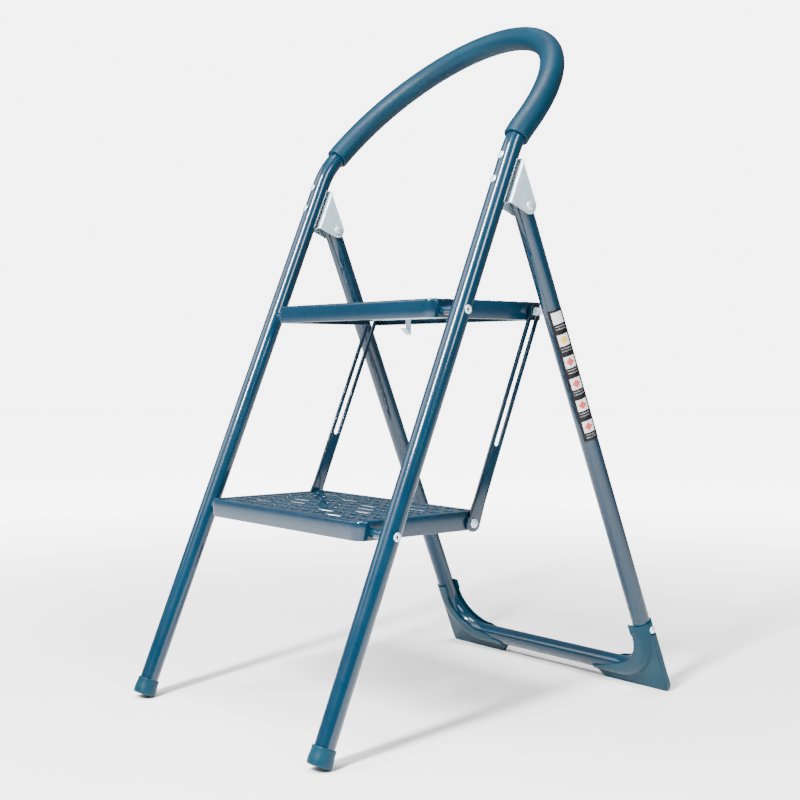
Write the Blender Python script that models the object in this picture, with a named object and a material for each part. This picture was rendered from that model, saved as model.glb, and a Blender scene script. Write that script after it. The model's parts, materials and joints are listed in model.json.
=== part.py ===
"""Two-step folding step stool of bent steel tube with a padded hoop handle.

The front frame is one tube: two rails that lean back and a hoop bent further back at hand
height. A U-shaped rear frame hinges behind the rails on two galvanised brackets. Two pressed
treads pivot on the rails, the upper one rests on a rod between the rear legs, and two slotted
bars hold the back of the lower one. +Z is up, the user climbs towards +Y, +X is the user's right.
"""
import math

import bmesh
import bpy
from mathutils import Matrix, Vector

# ---- driving sizes, metres and degrees ----------------------------------------------------
TUBE_D = 0.022            # outside diameter of both frame tubes
TUBE_WALL = 0.0012
FIT = 0.0003              # gap between faces that touch
PIN_FIT = 0.0003          # radial clearance of a pin in its hole

FRAME_WIDTH = 0.362       # between the centre lines of the two rails
RAIL_LEAN = 22.4          # degrees back from upright
LEG_LEAN = 22.25          # degrees forward from upright
HINGE_HEIGHT = 0.5775     # of the rear frame's hinge above the floor
HINGE_SETBACK = 0.0397    # hinge axis behind the rail's centre line, square to the rail
CROSSBAR_HEIGHT = 0.0222  # centre of the rear crossbar above the floor
REAR_BEND_R = 0.055
LEG_TOP_END = 0.012       # rear leg above its hinge

HOOP_START = 0.690        # along the rail, where the tube starts to bend back
HOOP_BEND_R = 0.100
HOOP_LEAN = 42.5          # degrees back from upright
HOOP_STRAIGHT = 0.0067
HOOP_RISE = 0.197         # height of the half ellipse in the hoop's own plane
GRIP_WALL = 0.0034
GRIP_FROM_RIGHT = 0.026   # sleeve end past the start of the bend, right rail
GRIP_FROM_LEFT = 0.052    # the same on the left rail

CAP_WALL = 0.0021
CAP_HEIGHT = 0.019          # sole to rim, along the rail
CAP_EDGE = 0.0022          # rounding of the sole's edge
CAP_FLAT = 0.0005          # worn flat under the rear of the sole
TUBE_END_GAP = 0.0045     # floor to the lowest point of the rail's end

STEP_DEPTH = 0.171
STEP_WIDTH = 0.303
STEP_SKIRT = 0.021
STEP_SHEET = 0.0012
STEP_LIP = 0.006          # bottom hem, folded inwards
STEP_FRONT_R = 0.014
STEP_REAR_R = 0.005
STEP_EDGE_R = 0.0025
UPPER_TREAD_HEIGHT = 0.4725
LOWER_TREAD_HEIGHT = 0.2365
PIVOT_DROP = 0.013        # step pivot below the tread's top
PIVOT_SETBACK = 0.0185    # step pivot behind the step's front face
PIVOT_D = 0.006           # tubular rivet of a step pivot
PIVOT_BORE = 0.0032
PIVOT_HEAD_D = 0.0098
BUSH_D = 0.0105
REAR_HOLE_SETBACK = 0.0135  # bar and rod line in front of the step's rear edge

BAR_WIDTH = 0.016
BAR_THICK = 0.003
BAR_EYE_R = 0.0098
BAR_TIP = 0.009           # bar above the pin at rest
SLOT_WIDTH = 0.0066
SLOT_TRAVEL = 0.163
ROD_D = 0.008
ROD_NECK_D = 0.0042
SLOT_BUSH_HEAD_D = 0.0100
SLOT_BUSH_HEAD = 0.0014
SPACER_D = 0.0085

BRACKET_SHEET = 0.0015
BRACKET_TOP = 0.0385      # ear's upper point above the hinge, along the rail
BRACKET_BOTTOM = 0.0095
BRACKET_EAR_R = 0.0098
BRACKET_RIVETS = (0.0086, 0.0386)   # above the hinge, along the rail
RIVET_D = 0.0045
RIVET_HEAD_D = 0.0090
RIVET_HEAD = 0.0020
HINGE_PIN_D = 0.006
HINGE_HEAD_D = 0.0105

SHOE_WALL = 0.0015
SHOE_COLLAR = 0.015       # channel along the straight end of the leg
SHOE_REACH = 0.0095       # side walls past the tube's centre line, towards the stool's middle
SHOE_CLIP = (0.0022, 0.0145)   # clip on each wall's edge: height and length from the top
SHOE_ARM_REACH = -0.0024  # the same reach at the end of the arm
SHOE_ARM_END = 0.086      # inner end, from the middle of the stool
SHOE_WEB_HALF = 0.0045    # half the thickness of the web between channel and toe
SHOE_RIB_RISE = 0.0013    # least height of the web above the channel's wall
SHOE_TOE = 0.0160         # outer bottom corner outside the leg's centre line
SHOE_RIVET_DROP = 0.009
SHOE_CORNER_R = 0.010     # rounding of the outer bottom corner
SHOE_SLOPE = 0.012        # length over which the web grows from the arm's end

LATCH_X = -0.0875
LATCH_WIDTH = 0.010
LATCH_SHEET = 0.0010
LATCH_PIN_D = 0.0026
LATCH_EYE_D = 0.0054
LATCH_PIN_BACK = 0.0072   # behind the rod's centre line
LATCH_PIN_UP = 0.0030     # above it
LATCH_TAIL = 0.0240       # below the rod's centre line
LATCH_TIP_BACK = -0.0010  # hook point behind the rod's centre line
LATCH_TIP_DROP = 0.0150
LATCH_EAR = 0.0010

LABEL_TOP = 0.123         # along the rear leg below the hinge
LABEL_LENGTH = 0.162
LABEL_SHEET = 0.0002
LABEL_TURN = (-74, 34)      # round the leg, degrees from square outwards to the rear

# ---- derived sizes ------------------------------------------------------------------------
TUBE_R = TUBE_D / 2
SIDE_X = FRAME_WIDTH / 2
RAIL_TILT = math.radians(RAIL_LEAN)
LEG_TILT = math.radians(LEG_LEAN)
FOLD_ANGLE = RAIL_TILT + LEG_TILT
STEP_FOLD_ANGLE = math.pi / 2 - RAIL_TILT
ALONG_RAIL = Vector((0, math.sin(RAIL_TILT), math.cos(RAIL_TILT)))
BEHIND_RAIL = Vector((0, math.cos(RAIL_TILT), -math.sin(RAIL_TILT)))
DOWN_LEG = Vector((0, math.sin(LEG_TILT), -math.cos(LEG_TILT)))
HINGE_ALONG = (HINGE_HEIGHT + HINGE_SETBACK * math.sin(RAIL_TILT)) / math.cos(RAIL_TILT)
HINGE = ALONG_RAIL * HINGE_ALONG + BEHIND_RAIL * HINGE_SETBACK
LEG_LENGTH = (HINGE_HEIGHT - CROSSBAR_HEIGHT) / math.cos(LEG_TILT)
SHOE_RIB = TUBE_R + FIT + SHOE_WALL + SHOE_RIB_RISE     # web's tip beside the collar
SHOE_TOP = REAR_BEND_R + SHOE_COLLAR      # above the crossbar's centre, along the leg
STEP_X = STEP_WIDTH / 2
BAR_X = STEP_X + 0.0008   # inner face of a slotted bar
BAR_OUT_X = BAR_X + BAR_THICK
CUT = 0.02                # how far cutters run past what they cut
ACROSS = Matrix(((0, 0, 1, 0), (1, 0, 0, 0), (0, 1, 0, 0), (0, 0, 0, 1)))   # (y, z, x) drawings


def rail_point(height):
    """The rail's centre line at a height, in the plane x = 0."""
    return Vector((0, height * math.tan(RAIL_TILT), height))


UPPER_PIVOT = rail_point(UPPER_TREAD_HEIGHT - PIVOT_DROP)
LOWER_PIVOT = rail_point(LOWER_TREAD_HEIGHT - PIVOT_DROP)
REAR_HOLE = STEP_DEPTH - PIVOT_SETBACK - REAR_HOLE_SETBACK   # behind the step's pivot
ROD_DOWN_LEG = (UPPER_PIVOT.y + REAR_HOLE - HINGE.y) / math.sin(LEG_TILT)
ROD = HINGE + DOWN_LEG * ROD_DOWN_LEG
LOWER_REAR = LOWER_PIVOT + Vector((0, REAR_HOLE, 0))
BAR_RUN = LOWER_REAR - ROD
BAR_LENGTH = BAR_RUN.length
BAR_TILT = math.atan2(-BAR_RUN.y, -BAR_RUN.z)   # of the bar from upright, towards the back


# ---- helpers ------------------------------------------------------------------------------
def clear_scene():
    for old in list(bpy.data.objects):
        bpy.data.objects.remove(old, do_unlink=True)


def paint(name, colour, roughness, metallic=0.0):
    """A Principled material with one colour, roughness and metallic value."""
    made = bpy.data.materials.new(name)
    made.use_nodes = True
    shader = made.node_tree.nodes["Principled BSDF"]
    shader.inputs["Base Color"].default_value = (*colour, 1.0)
    shader.inputs["Roughness"].default_value = roughness
    shader.inputs["Metallic"].default_value = metallic
    return made


def turned(angle, origin):
    """A frame at origin, turned about X."""
    return Matrix.Translation(origin) @ Matrix.Rotation(angle, 4, 'X')


def along_x(x, y=0.0, z=0.0):
    """A frame whose Z axis runs along world X."""
    return Matrix.Translation((x, y, z)) @ Matrix.Rotation(math.pi / 2, 4, 'Y')


def empty(name, origin, parent=None):
    """A joint axis: an empty whose origin is on it."""
    made = bpy.data.objects.new(name, None)
    made.empty_display_size = 0.02
    bpy.context.scene.collection.objects.link(made)
    made.parent = parent
    above = Vector((0, 0, 0))
    while parent:
        above = above + parent.location
        parent = parent.parent
    made.location = Vector(origin) - above
    return made


def axis_place(axis):
    """Where an empty stands, before the whole stool is set on its origin."""
    place = Vector((0, 0, 0))
    while axis and axis.parent:
        place = place + axis.location
        axis = axis.parent
    return place


def piece(name, mesh, material, axis, frame=Matrix()):
    """An object of the mesh, in a frame of the stool, hung on its joint axis."""
    made = bpy.data.objects.new(name, mesh)
    bpy.context.scene.collection.objects.link(made)
    mesh.materials.append(material)
    made.parent = axis
    made.matrix_local = Matrix.Translation(-axis_place(axis)) @ frame
    return made


def finish(mesh_name, bm, smooth_angle=40):
    """The mesh of a bmesh with outward faces, round parts shaded smooth."""
    bmesh.ops.recalc_face_normals(bm, faces=bm.faces)
    mesh = bpy.data.meshes.new(mesh_name)
    bm.to_mesh(mesh)
    bm.free()
    mesh.shade_smooth()
    mesh.set_sharp_from_angle(angle=math.radians(smooth_angle))
    return mesh


def ring_surface(bm, rings, closed):
    """Quads between rings of points; the first and last ring are joined or filled."""
    loops = [[bm.verts.new(point) for point in ring] for ring in rings]
    pairs = list(zip(loops, loops[1:]))
    if closed:
        pairs.append((loops[-1], loops[0]))
    for low, high in pairs:
        for i in range(len(low)):
            j = (i + 1) % len(low)
            bm.faces.new((low[i], low[j], high[j], high[i]))
    if not closed:
        bm.faces.new(loops[0][::-1])
        bm.faces.new(loops[-1])


def lathe(name, profile, sides=16):
    """A profile of (radius, height) turned about Z; closed through the axis or as a ring."""
    bm = bmesh.new()
    rings = []
    for radius, height in profile:
        ring = []
        for i in range(sides):
            angle = 2 * math.pi * i / sides
            ring.append((radius * math.cos(angle), radius * math.sin(angle), height))
        rings.append(ring)
    hollow = profile[0] == profile[-1]
    ring_surface(bm, rings[:-1] if hollow else rings, closed=hollow)
    return finish(name, bm)


def circle(radius, sides):
    return [(radius * math.cos(2 * math.pi * i / sides), radius * math.sin(2 * math.pi * i / sides))
            for i in range(sides)]


def arc(centre, radius, start, end, steps):
    """Points of (x, y) on an arc, angles in degrees, both ends included."""
    points = []
    for i in range(steps + 1):
        angle = math.radians(start + (end - start) * i / steps)
        points.append((centre[0] + radius * math.cos(angle), centre[1] + radius * math.sin(angle)))
    return points


def plate(name, outline, low, high):
    """An outline of (x, y) extruded from z = low to z = high."""
    bm = bmesh.new()
    ring_surface(bm, [[(x, y, z) for x, y in outline] for z in (low, high)], closed=False)
    return finish(name, bm)


def box_mesh(name, low, high):
    outline = [(low[0], low[1]), (high[0], low[1]), (high[0], high[1]), (low[0], high[1])]
    return plate(name, outline, low[2], high[2])


def cut(target, mesh, frame=Matrix()):
    """Subtract a mesh, placed in a frame of the stool, with a live EXACT Boolean."""
    cutter = bpy.data.objects.new(f"{target.name}.cutter", mesh)
    bpy.context.scene.collection.objects.link(cutter)
    cutter.hide_render = True
    cutter.display_type = 'WIRE'
    cutter.parent = target.parent
    cutter.matrix_local = Matrix.Translation(-axis_place(target.parent)) @ frame
    boolean = target.modifiers.new(f"cut {len(target.modifiers) + 1}", 'BOOLEAN')
    boolean.operation = 'DIFFERENCE'
    boolean.solver = 'EXACT'
    boolean.object = cutter


def drill(target, diameter, frame, low, high, sides=12):
    """A round hole along the frame's Z axis."""
    cut(target, plate("drill", circle(diameter / 2, sides), low, high), frame)


def dome(radius, rise, low, steps=3):
    """Profile of a low dome head, from its rim to near its crown."""
    points = [(radius, low)]
    for i in range(1, steps + 1):
        angle = math.pi / 2 * i / (steps + 0.5)
        points.append((radius * math.cos(angle), low + rise * (0.35 + 0.65 * math.sin(angle))))
    return points


# ---- front frame --------------------------------------------------------------------------
def front_path():
    """Centre line of the front tube, from the right foot over the hoop to the left foot."""
    low = (TUBE_END_GAP + TUBE_R * math.sin(RAIL_TILT)) / math.cos(RAIL_TILT)
    right = [ALONG_RAIL * low, ALONG_RAIL * HOOP_START]
    bend = math.radians(HOOP_LEAN) - RAIL_TILT
    centre = ALONG_RAIL * HOOP_START + BEHIND_RAIL * HOOP_BEND_R
    steps = 5
    for i in range(1, steps + 1):
        tilt = RAIL_TILT + bend * i / steps
        outward = Vector((0, math.cos(tilt), -math.sin(tilt)))
        right.append(centre - outward * HOOP_BEND_R)
    along_hoop = Vector((0, math.sin(math.radians(HOOP_LEAN)), math.cos(math.radians(HOOP_LEAN))))
    base = right[-1] + along_hoop * HOOP_STRAIGHT
    across = Vector((SIDE_X, 0, 0))
    points = [point + across for point in right]
    steps = 24
    for i in range(steps + 1):
        angle = math.pi * i / steps
        points.append(base + across * math.cos(angle) + along_hoop * (HOOP_RISE * math.sin(angle)))
    points.extend(point - across for point in reversed(right))
    return points


def stretch_of(path, start, end):
    """The part of a path between two distances along it, with the path's own corners."""
    points = []
    walked = 0.0
    for a, b in zip(path, path[1:]):
        length = (b - a).length
        if walked < start <= walked + length:
            points.append(a.lerp(b, (start - walked) / length))
        if walked < end <= walked + length:
            points.append(a.lerp(b, (end - walked) / length))
        elif points and walked + length < end:
            points.append(b.copy())
        walked += length
    return points


def tube_rings(path, radius, sides):
    """Rings round a path that never runs along X and Y both, free of twist."""
    rings = []
    side = Vector((1, 0, 0))
    for i, point in enumerate(path):
        ahead = (path[min(i + 1, len(path) - 1)] - path[max(i - 1, 0)]).normalized()
        side = (side - ahead * side.dot(ahead)).normalized()
        up = ahead.cross(side)
        rings.append([point + side * (radius * math.cos(2 * math.pi * k / sides))
                      + up * (radius * math.sin(2 * math.pi * k / sides)) for k in range(sides)])
    return rings


def tube(name, path, outer, inner, sides):
    """An open-ended tube: outer wall, inner wall and a ring face at each end."""
    bm = bmesh.new()
    rings = tube_rings(path, outer, sides) + tube_rings(path, inner, sides)[::-1]
    ring_surface(bm, rings, closed=True)
    return finish(name, bm)


def rail_frame(side):
    """Frame at a rail's foot: Y square behind the rail, Z along it."""
    return turned(-RAIL_TILT, (side * SIDE_X, 0, 0))


def across_rail(side, along):
    """Frame on a rail's centre line whose Z axis runs from its front to its back."""
    return rail_frame(side) @ Matrix.Translation((0, 0, along)) @ Matrix.Rotation(-math.pi / 2, 4, 'X')


def build_front(axis, paints):
    path = front_path()
    front = piece("front_tube", tube("front_tube", path, TUBE_R, TUBE_R - TUBE_WALL, 16),
                  paints["gloss"], axis)
    total = sum((b - a).length for a, b in zip(path, path[1:]))
    start = (path[1] - path[0]).length
    sleeve = stretch_of(path, start + GRIP_FROM_RIGHT, total - start - GRIP_FROM_LEFT)
    piece("grip_sleeve", tube("grip_sleeve", sleeve, TUBE_R + FIT + GRIP_WALL, TUBE_R + FIT, 16),
          paints["grip"], axis)
    for side, word in ((1, "right"), (-1, "left")):
        build_cap(axis, paints, side, word)
        build_bracket(axis, paints, side, word)
        for level, pivot in (("upper", UPPER_PIVOT), ("lower", LOWER_PIVOT)):
            build_pivot(axis, paints, side, f"{level}_{word}", pivot)
            drill(front, PIVOT_D + 2 * PIN_FIT, along_x(side * SIDE_X, pivot.y, pivot.z), -CUT, CUT)
        for height in BRACKET_RIVETS:
            drill(front, RIVET_D + 2 * PIN_FIT, across_rail(side, HINGE_ALONG + height), -CUT, CUT)


def build_cap(axis, paints, side, word):
    """Moulded rubber foot cap, pushed over the rail's end and cut square to the rail."""
    outer = TUBE_R + FIT + CAP_WALL
    lean = ((outer - CAP_EDGE) * math.sin(RAIL_TILT) + CAP_EDGE) / math.cos(RAIL_TILT)
    low = lean - CAP_EDGE - CAP_FLAT
    top = low + CAP_HEIGHT
    seat = (TUBE_END_GAP + TUBE_R * math.sin(RAIL_TILT)) / math.cos(RAIL_TILT) - FIT
    edge = arc((outer - CAP_EDGE, low + CAP_EDGE), CAP_EDGE, -90, 0, 4)
    profile = [(0.002, low)] + edge + [(outer - 0.0004, top - 0.0015), (outer - 0.001, top),
                                       (TUBE_R + FIT, top), (TUBE_R + FIT, seat), (0.002, seat)]
    mesh = lathe(f"foot_cap_{word}", profile, 24)
    cap = piece(f"foot_cap_{word}", mesh, paints["cap"], axis, rail_frame(side))
    floor = box_mesh("floor", (-0.05, -0.05, -0.05), (0.05, 0.05, 0))
    cut(cap, floor, Matrix.Translation((side * SIDE_X, 0, 0)))


def bracket_outline():
    """Ear of the hinge bracket, (behind the rail, along the rail) from the hinge axis."""
    web = TUBE_R + FIT - HINGE_SETBACK
    top_rivet = BRACKET_RIVETS[1] + RIVET_HEAD_D / 2 + 0.0015
    reach = math.hypot(web + 0.003, BRACKET_TOP)
    lean = math.degrees(math.atan2(BRACKET_TOP, web + 0.003))
    start = lean - math.degrees(math.acos(BRACKET_EAR_R / reach))
    outline = arc((0, 0), BRACKET_EAR_R, -90, start, 8)
    outline += [(web + 0.004, BRACKET_TOP - 0.001), (web + BRACKET_SHEET + 0.0004, BRACKET_TOP)]
    outline += [(web + BRACKET_SHEET, max(top_rivet, BRACKET_TOP)),
                (web, max(top_rivet, BRACKET_TOP)), (web, -BRACKET_EAR_R)]
    return outline


def build_bracket(axis, paints, side, word):
    """U bracket of galvanised sheet behind the rail, its two rivets and the hinge pin."""
    half = TUBE_R + 0.0005
    outer = half + BRACKET_SHEET
    web = TUBE_R + FIT - HINGE_SETBACK + BRACKET_SHEET
    at_hinge = turned(-RAIL_TILT, (side * SIDE_X, HINGE.y, HINGE.z))
    body = plate(f"hinge_bracket_{word}", bracket_outline(), -outer, outer)
    bracket = piece(f"hinge_bracket_{word}", body, paints["zinc"], axis,
                    at_hinge @ ACROSS)
    cut(bracket, box_mesh("gap", (-half, web, -0.05), (half, 0.05, 0.1)), at_hinge)
    hinge_x = along_x(side * SIDE_X, HINGE.y, HINGE.z)
    drill(bracket, HINGE_PIN_D + 2 * PIN_FIT, hinge_x, -CUT, CUT)
    for height in BRACKET_RIVETS:
        drill(bracket, RIVET_D + 2 * PIN_FIT, across_rail(side, HINGE_ALONG + height), 0, CUT)
    for height, level in zip(BRACKET_RIVETS, ("low", "high")):
        front = -TUBE_R - FIT
        back = TUBE_R + FIT + BRACKET_SHEET + FIT
        shank = RIVET_D / 2
        head = [(r, -h) for r, h in dome(RIVET_HEAD_D / 2, RIVET_HEAD, -front)][::-1]
        tail = [(shank * 1.5, back), (shank * 1.5, back + 0.0008), (shank * 0.9, back + 0.0014)]
        profile = head + [(shank, front), (shank, back)] + tail
        piece(f"bracket_rivet_{level}_{word}", lathe("rivet", profile, 14), paints["zinc"], axis,
              across_rail(side, HINGE_ALONG + height))
    face = outer + FIT
    shank = HINGE_PIN_D / 2
    head = dome(HINGE_HEAD_D / 2, RIVET_HEAD, face)
    profile = [(r, -h) for r, h in head][::-1] + [(shank, -face), (shank, face)] + head
    piece(f"hinge_pin_{word}", lathe("hinge_pin", profile, 16), paints["zinc"], axis, hinge_x)


def build_pivot(axis, paints, side, words, pivot):
    """Tubular rivet through rail, bush and step skirt, and the bush that spaces them."""
    rail_face = SIDE_X + TUBE_R + FIT
    skirt_in = STEP_X - STEP_SHEET - FIT
    shank = PIVOT_D / 2
    bore = PIVOT_BORE / 2
    head = PIVOT_HEAD_D / 2
    profile = [(bore, rail_face + 0.0014), (head * 0.55, rail_face + 0.0018),
               (head * 0.92, rail_face + 0.0012), (head, rail_face), (shank, rail_face),
               (shank, skirt_in), (shank * 1.5, skirt_in), (shank * 1.45, skirt_in - 0.0010),
               (bore, skirt_in - 0.0014)]
    frame = Matrix.Translation((0, pivot.y, pivot.z)) @ Matrix.Rotation(side * math.pi / 2, 4, 'Y')
    mesh = lathe("pivot_rivet", profile + [profile[0]], 16)
    piece(f"{words}_pivot_rivet", mesh, paints["zinc"], axis, frame)
    inner = shank + PIN_FIT
    outer = BUSH_D / 2
    low = STEP_X + FIT
    high = SIDE_X - TUBE_R - FIT
    ring = [(inner, low), (outer, low), (outer, high), (inner, high), (inner, low)]
    piece(f"{words}_pivot_bush", lathe("pivot_bush", ring, 16), paints["gloss"], axis, frame)


# ---- rear frame ---------------------------------------------------------------------------
def rear_path():
    """Centre line of the rear tube in its own plane: x across, z up the leg from the hinge."""
    corner = -LEG_LENGTH + REAR_BEND_R
    right = [Vector((SIDE_X, 0, LEG_TOP_END)), Vector((SIDE_X, 0, corner))]
    for x, z in arc((SIDE_X - REAR_BEND_R, corner), REAR_BEND_R, 0, -90, 7)[1:]:
        right.append(Vector((x, 0, z)))
    return right + [Vector((-point.x, 0, point.z)) for point in reversed(right)]


def shoe_section(reach, tip):
    """Section of a corner shoe, (outwards, back): channel walls with a web behind them."""
    inner, outer = TUBE_R + FIT, TUBE_R + FIT + SHOE_WALL
    short = max(0.0, -reach)
    low = math.degrees(math.asin(SHOE_WEB_HALF / outer))
    high_out = math.degrees(math.acos(short / outer))
    high_in = math.degrees(math.acos(short / inner))
    wall = [(-reach, outer * math.sin(math.radians(high_out)))]
    wall += arc((0, 0), outer, 0.97 * high_out, low, 5)
    wall += [(tip - 0.0015, SHOE_WEB_HALF), (tip, SHOE_WEB_HALF - 0.0015)]
    channel = [(-reach, -inner * math.sin(math.radians(high_in)))]
    channel += arc((0, 0), inner, -0.97 * high_in, 0.97 * high_in, 9)
    channel.append((-reach, inner * math.sin(math.radians(high_in))))
    return wall + [(out, -back) for out, back in reversed(wall)] + channel


def shoe_stations():
    """Stations of the shoe: centre (x, z), turn, walls' reach and the web's tip."""
    sole = -CROSSBAR_HEIGHT / math.cos(LEG_TILT) - 0.002
    corner = Vector((SHOE_TOE - SHOE_CORNER_R + REAR_BEND_R, sole + SHOE_CORNER_R - REAR_BEND_R))
    stations = []
    for above, reach in ((SHOE_TOP, SHOE_REACH + SHOE_CLIP[0]),
                         (SHOE_TOP - SHOE_CLIP[1], SHOE_REACH + SHOE_CLIP[0]),
                         (SHOE_TOP - SHOE_CLIP[1] - 0.0002, SHOE_REACH)):
        tip = SHOE_RIB + (SHOE_TOE - SHOE_RIB) * (1 - above / SHOE_TOP)
        stations.append((SIDE_X, above, 0.0, reach, tip))
    for i in range(8):
        turn = math.pi / 2 * i / 7
        ray = Vector((math.cos(turn), -math.sin(turn)))
        tips = []
        for angle in (0, -22.5, -45, -67.5, -90):
            square = Vector((math.cos(math.radians(angle)), math.sin(math.radians(angle))))
            tips.append((square.dot(corner) + SHOE_CORNER_R) / square.dot(ray)
                        if square.dot(ray) > 0.05 else 1.0)
        x = SIDE_X - REAR_BEND_R + REAR_BEND_R * math.cos(turn)
        z = REAR_BEND_R - REAR_BEND_R * math.sin(turn)
        reach = SHOE_REACH - 0.0009 * max(0, i - 5)
        stations.append((x, z, turn, reach, min(tips) - REAR_BEND_R))
    for along, reach in ((0.016, 0.0006), (SHOE_SLOPE, 0.0), (0.0, SHOE_ARM_REACH)):
        share = min(1.0, along / SHOE_SLOPE)
        tip = SHOE_RIB + (-sole - SHOE_RIB) * share
        stations.append((SHOE_ARM_END + along, 0.0, math.pi / 2, reach, tip))
    return stations


def build_shoe(axis, paints, side, word, plane):
    """Moulded corner shoe: a channel round the outside of the bend, a web and a flat sole."""
    rings = []
    for x, z, turn, reach, tip in shoe_stations():
        ring = []
        for out, back in shoe_section(reach, tip):
            ring.append((side * (x + out * math.cos(turn)), back,
                         z - LEG_LENGTH - out * math.sin(turn)))
        rings.append(ring)
    if side < 0:
        rings.reverse()
    bm = bmesh.new()
    ring_surface(bm, rings, closed=False)
    bmesh.ops.recalc_face_normals(bm, faces=bm.faces)
    mesh = finish(f"corner_shoe_{word}", bm)
    shoe = piece(f"corner_shoe_{word}", mesh, paints["shoe"], axis, plane)
    floor = box_mesh("floor", (-0.12, -0.1, -0.1), (0.12, 0.1, 0))
    foot = HINGE + DOWN_LEG * LEG_LENGTH
    cut(shoe, floor, Matrix.Translation((side * (SIDE_X - 0.03), foot.y, 0)))
    return shoe


def build_rear(axis, paints):
    plane = turned(LEG_TILT, HINGE)
    mesh = tube("rear_tube", rear_path(), TUBE_R, TUBE_R - TUBE_WALL, 16)
    rear = piece("rear_tube", mesh, paints["gloss"], axis, plane)
    for side, word in ((1, "right"), (-1, "left")):
        drill(rear, HINGE_PIN_D + 2 * PIN_FIT, along_x(side * SIDE_X, HINGE.y, HINGE.z), -CUT, CUT)
        shoe = build_shoe(axis, paints, side, word, plane)
        up = -LEG_LENGTH + SHOE_TOP - SHOE_RIVET_DROP
        across = plane @ Matrix.Translation((side * SIDE_X, 0, up)) @ Matrix.Rotation(
            side * math.pi / 2, 4, 'Y')
        drill(rear, RIVET_D + 2 * PIN_FIT, across, 0, CUT)
        drill(shoe, RIVET_D + 2 * PIN_FIT, across, 0, CUT)
        shank = RIVET_D / 2
        low = TUBE_R - TUBE_WALL - 0.002
        face = SHOE_RIB + 2 * FIT
        profile = [(shank, low), (shank, face)] + dome(RIVET_HEAD_D / 2, RIVET_HEAD, face)
        piece(f"shoe_rivet_{word}", lathe("shoe_rivet", profile, 14), paints["zinc"], axis, across)
    build_rod(axis, paints)
    build_label(axis, paints, plane)


def build_rod(axis, paints):
    """Rest rod between the legs with its two thin necks, and a spacer on each neck."""
    neck = ROD_NECK_D / 2
    thick = ROD_D / 2
    shoulder = BAR_X - 0.0004
    end = SIDE_X - TUBE_R - FIT
    profile = [(neck, -end), (neck, -shoulder), (thick, -shoulder), (thick, shoulder),
               (neck, shoulder), (neck, end)]
    piece("rest_rod", lathe("rest_rod", profile, 16), paints["zinc"], axis,
          along_x(0, ROD.y, ROD.z))
    low = BAR_OUT_X + FIT + SLOT_BUSH_HEAD + FIT
    ring = [(neck + PIN_FIT, low), (SPACER_D / 2, low), (SPACER_D / 2, end - 0.0006),
            (neck + PIN_FIT, end - 0.0006), (neck + PIN_FIT, low)]
    for side, word in ((1, "right"), (-1, "left")):
        frame = Matrix.Translation((0, ROD.y, ROD.z)) @ Matrix.Rotation(side * math.pi / 2, 4, 'Y')
        piece(f"rod_spacer_{word}", lathe("rod_spacer", ring, 16), paints["zinc"], axis, frame)


def build_label(axis, paints, plane):
    """Thin self-adhesive label wrapped round the outer side of the right leg."""
    low = TUBE_R + FIT
    outline = (arc((0, 0), low + LABEL_SHEET, *LABEL_TURN, 8)
               + arc((0, 0), low, *LABEL_TURN[::-1], 8))
    mesh = plate("leg_label", outline, -LABEL_TOP - LABEL_LENGTH, -LABEL_TOP)
    piece("leg_label", mesh, paints["label"], axis, plane @ Matrix.Translation((SIDE_X, 0, 0)))


# ---- steps --------------------------------------------------------------------------------
def step_ring(inset, height):
    """Rounded rectangle of the step's plan, drawn in by an inset; origin on the pivot."""
    x = STEP_X - inset
    front = -PIVOT_SETBACK + inset
    back = STEP_DEPTH - PIVOT_SETBACK - inset
    front_r = max(STEP_FRONT_R - inset, 0.0008)
    rear_r = max(STEP_REAR_R - inset, 0.0008)
    ring = arc((x - front_r, front + front_r), front_r, -90, 0, 5)
    ring += arc((x - rear_r, back - rear_r), rear_r, 0, 90, 4)
    ring += arc((-x + rear_r, back - rear_r), rear_r, 90, 180, 4)
    ring += arc((-x + front_r, front + front_r), front_r, 180, 270, 5)
    return [(px, py, height) for px, py in ring]


def step_mesh(name):
    """Pressed tread: flat top, rounded edge, deep skirt and a hem folded inwards."""
    top = PIVOT_DROP
    bottom = PIVOT_DROP - STEP_SKIRT
    rings = []
    for i in range(4):
        angle = math.pi / 2 * i / 3
        rings.append(step_ring(STEP_EDGE_R * (1 - math.sin(angle)),
                               top - STEP_EDGE_R * (1 - math.cos(angle))))
    rings.append(step_ring(0, bottom))
    rings.append(step_ring(STEP_LIP, bottom))
    rings.append(step_ring(STEP_LIP, bottom + STEP_SHEET))
    rings.append(step_ring(STEP_SHEET, bottom + STEP_SHEET))
    rings.append(step_ring(STEP_SHEET, top - STEP_SHEET))
    bm = bmesh.new()
    ring_surface(bm, rings, closed=False)
    return finish(name, bm, 35)


def build_step(axis, paints, level, pivot):
    step = piece(f"{level}_step", step_mesh(f"{level}_step"), paints["gloss"], axis,
                 Matrix.Translation(pivot))
    for side in (1, -1):
        drill(step, PIVOT_D + 2 * PIN_FIT, along_x(side * STEP_X, pivot.y, pivot.z), -0.004, 0.004)
    return step


def rod_notch():
    """Side notch that sits on the rod and opens down and forwards, (y, z) from the rod."""
    radius = ROD_D / 2 + 2 * FIT
    down = ROD.z - (UPPER_TREAD_HEIGHT - STEP_SKIRT) + 0.003
    slide = 0.72 * down
    return arc((0, 0), radius, 0, 180, 8) + [(-radius - slide, -down), (radius - slide * 0.4, -down)]


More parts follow.
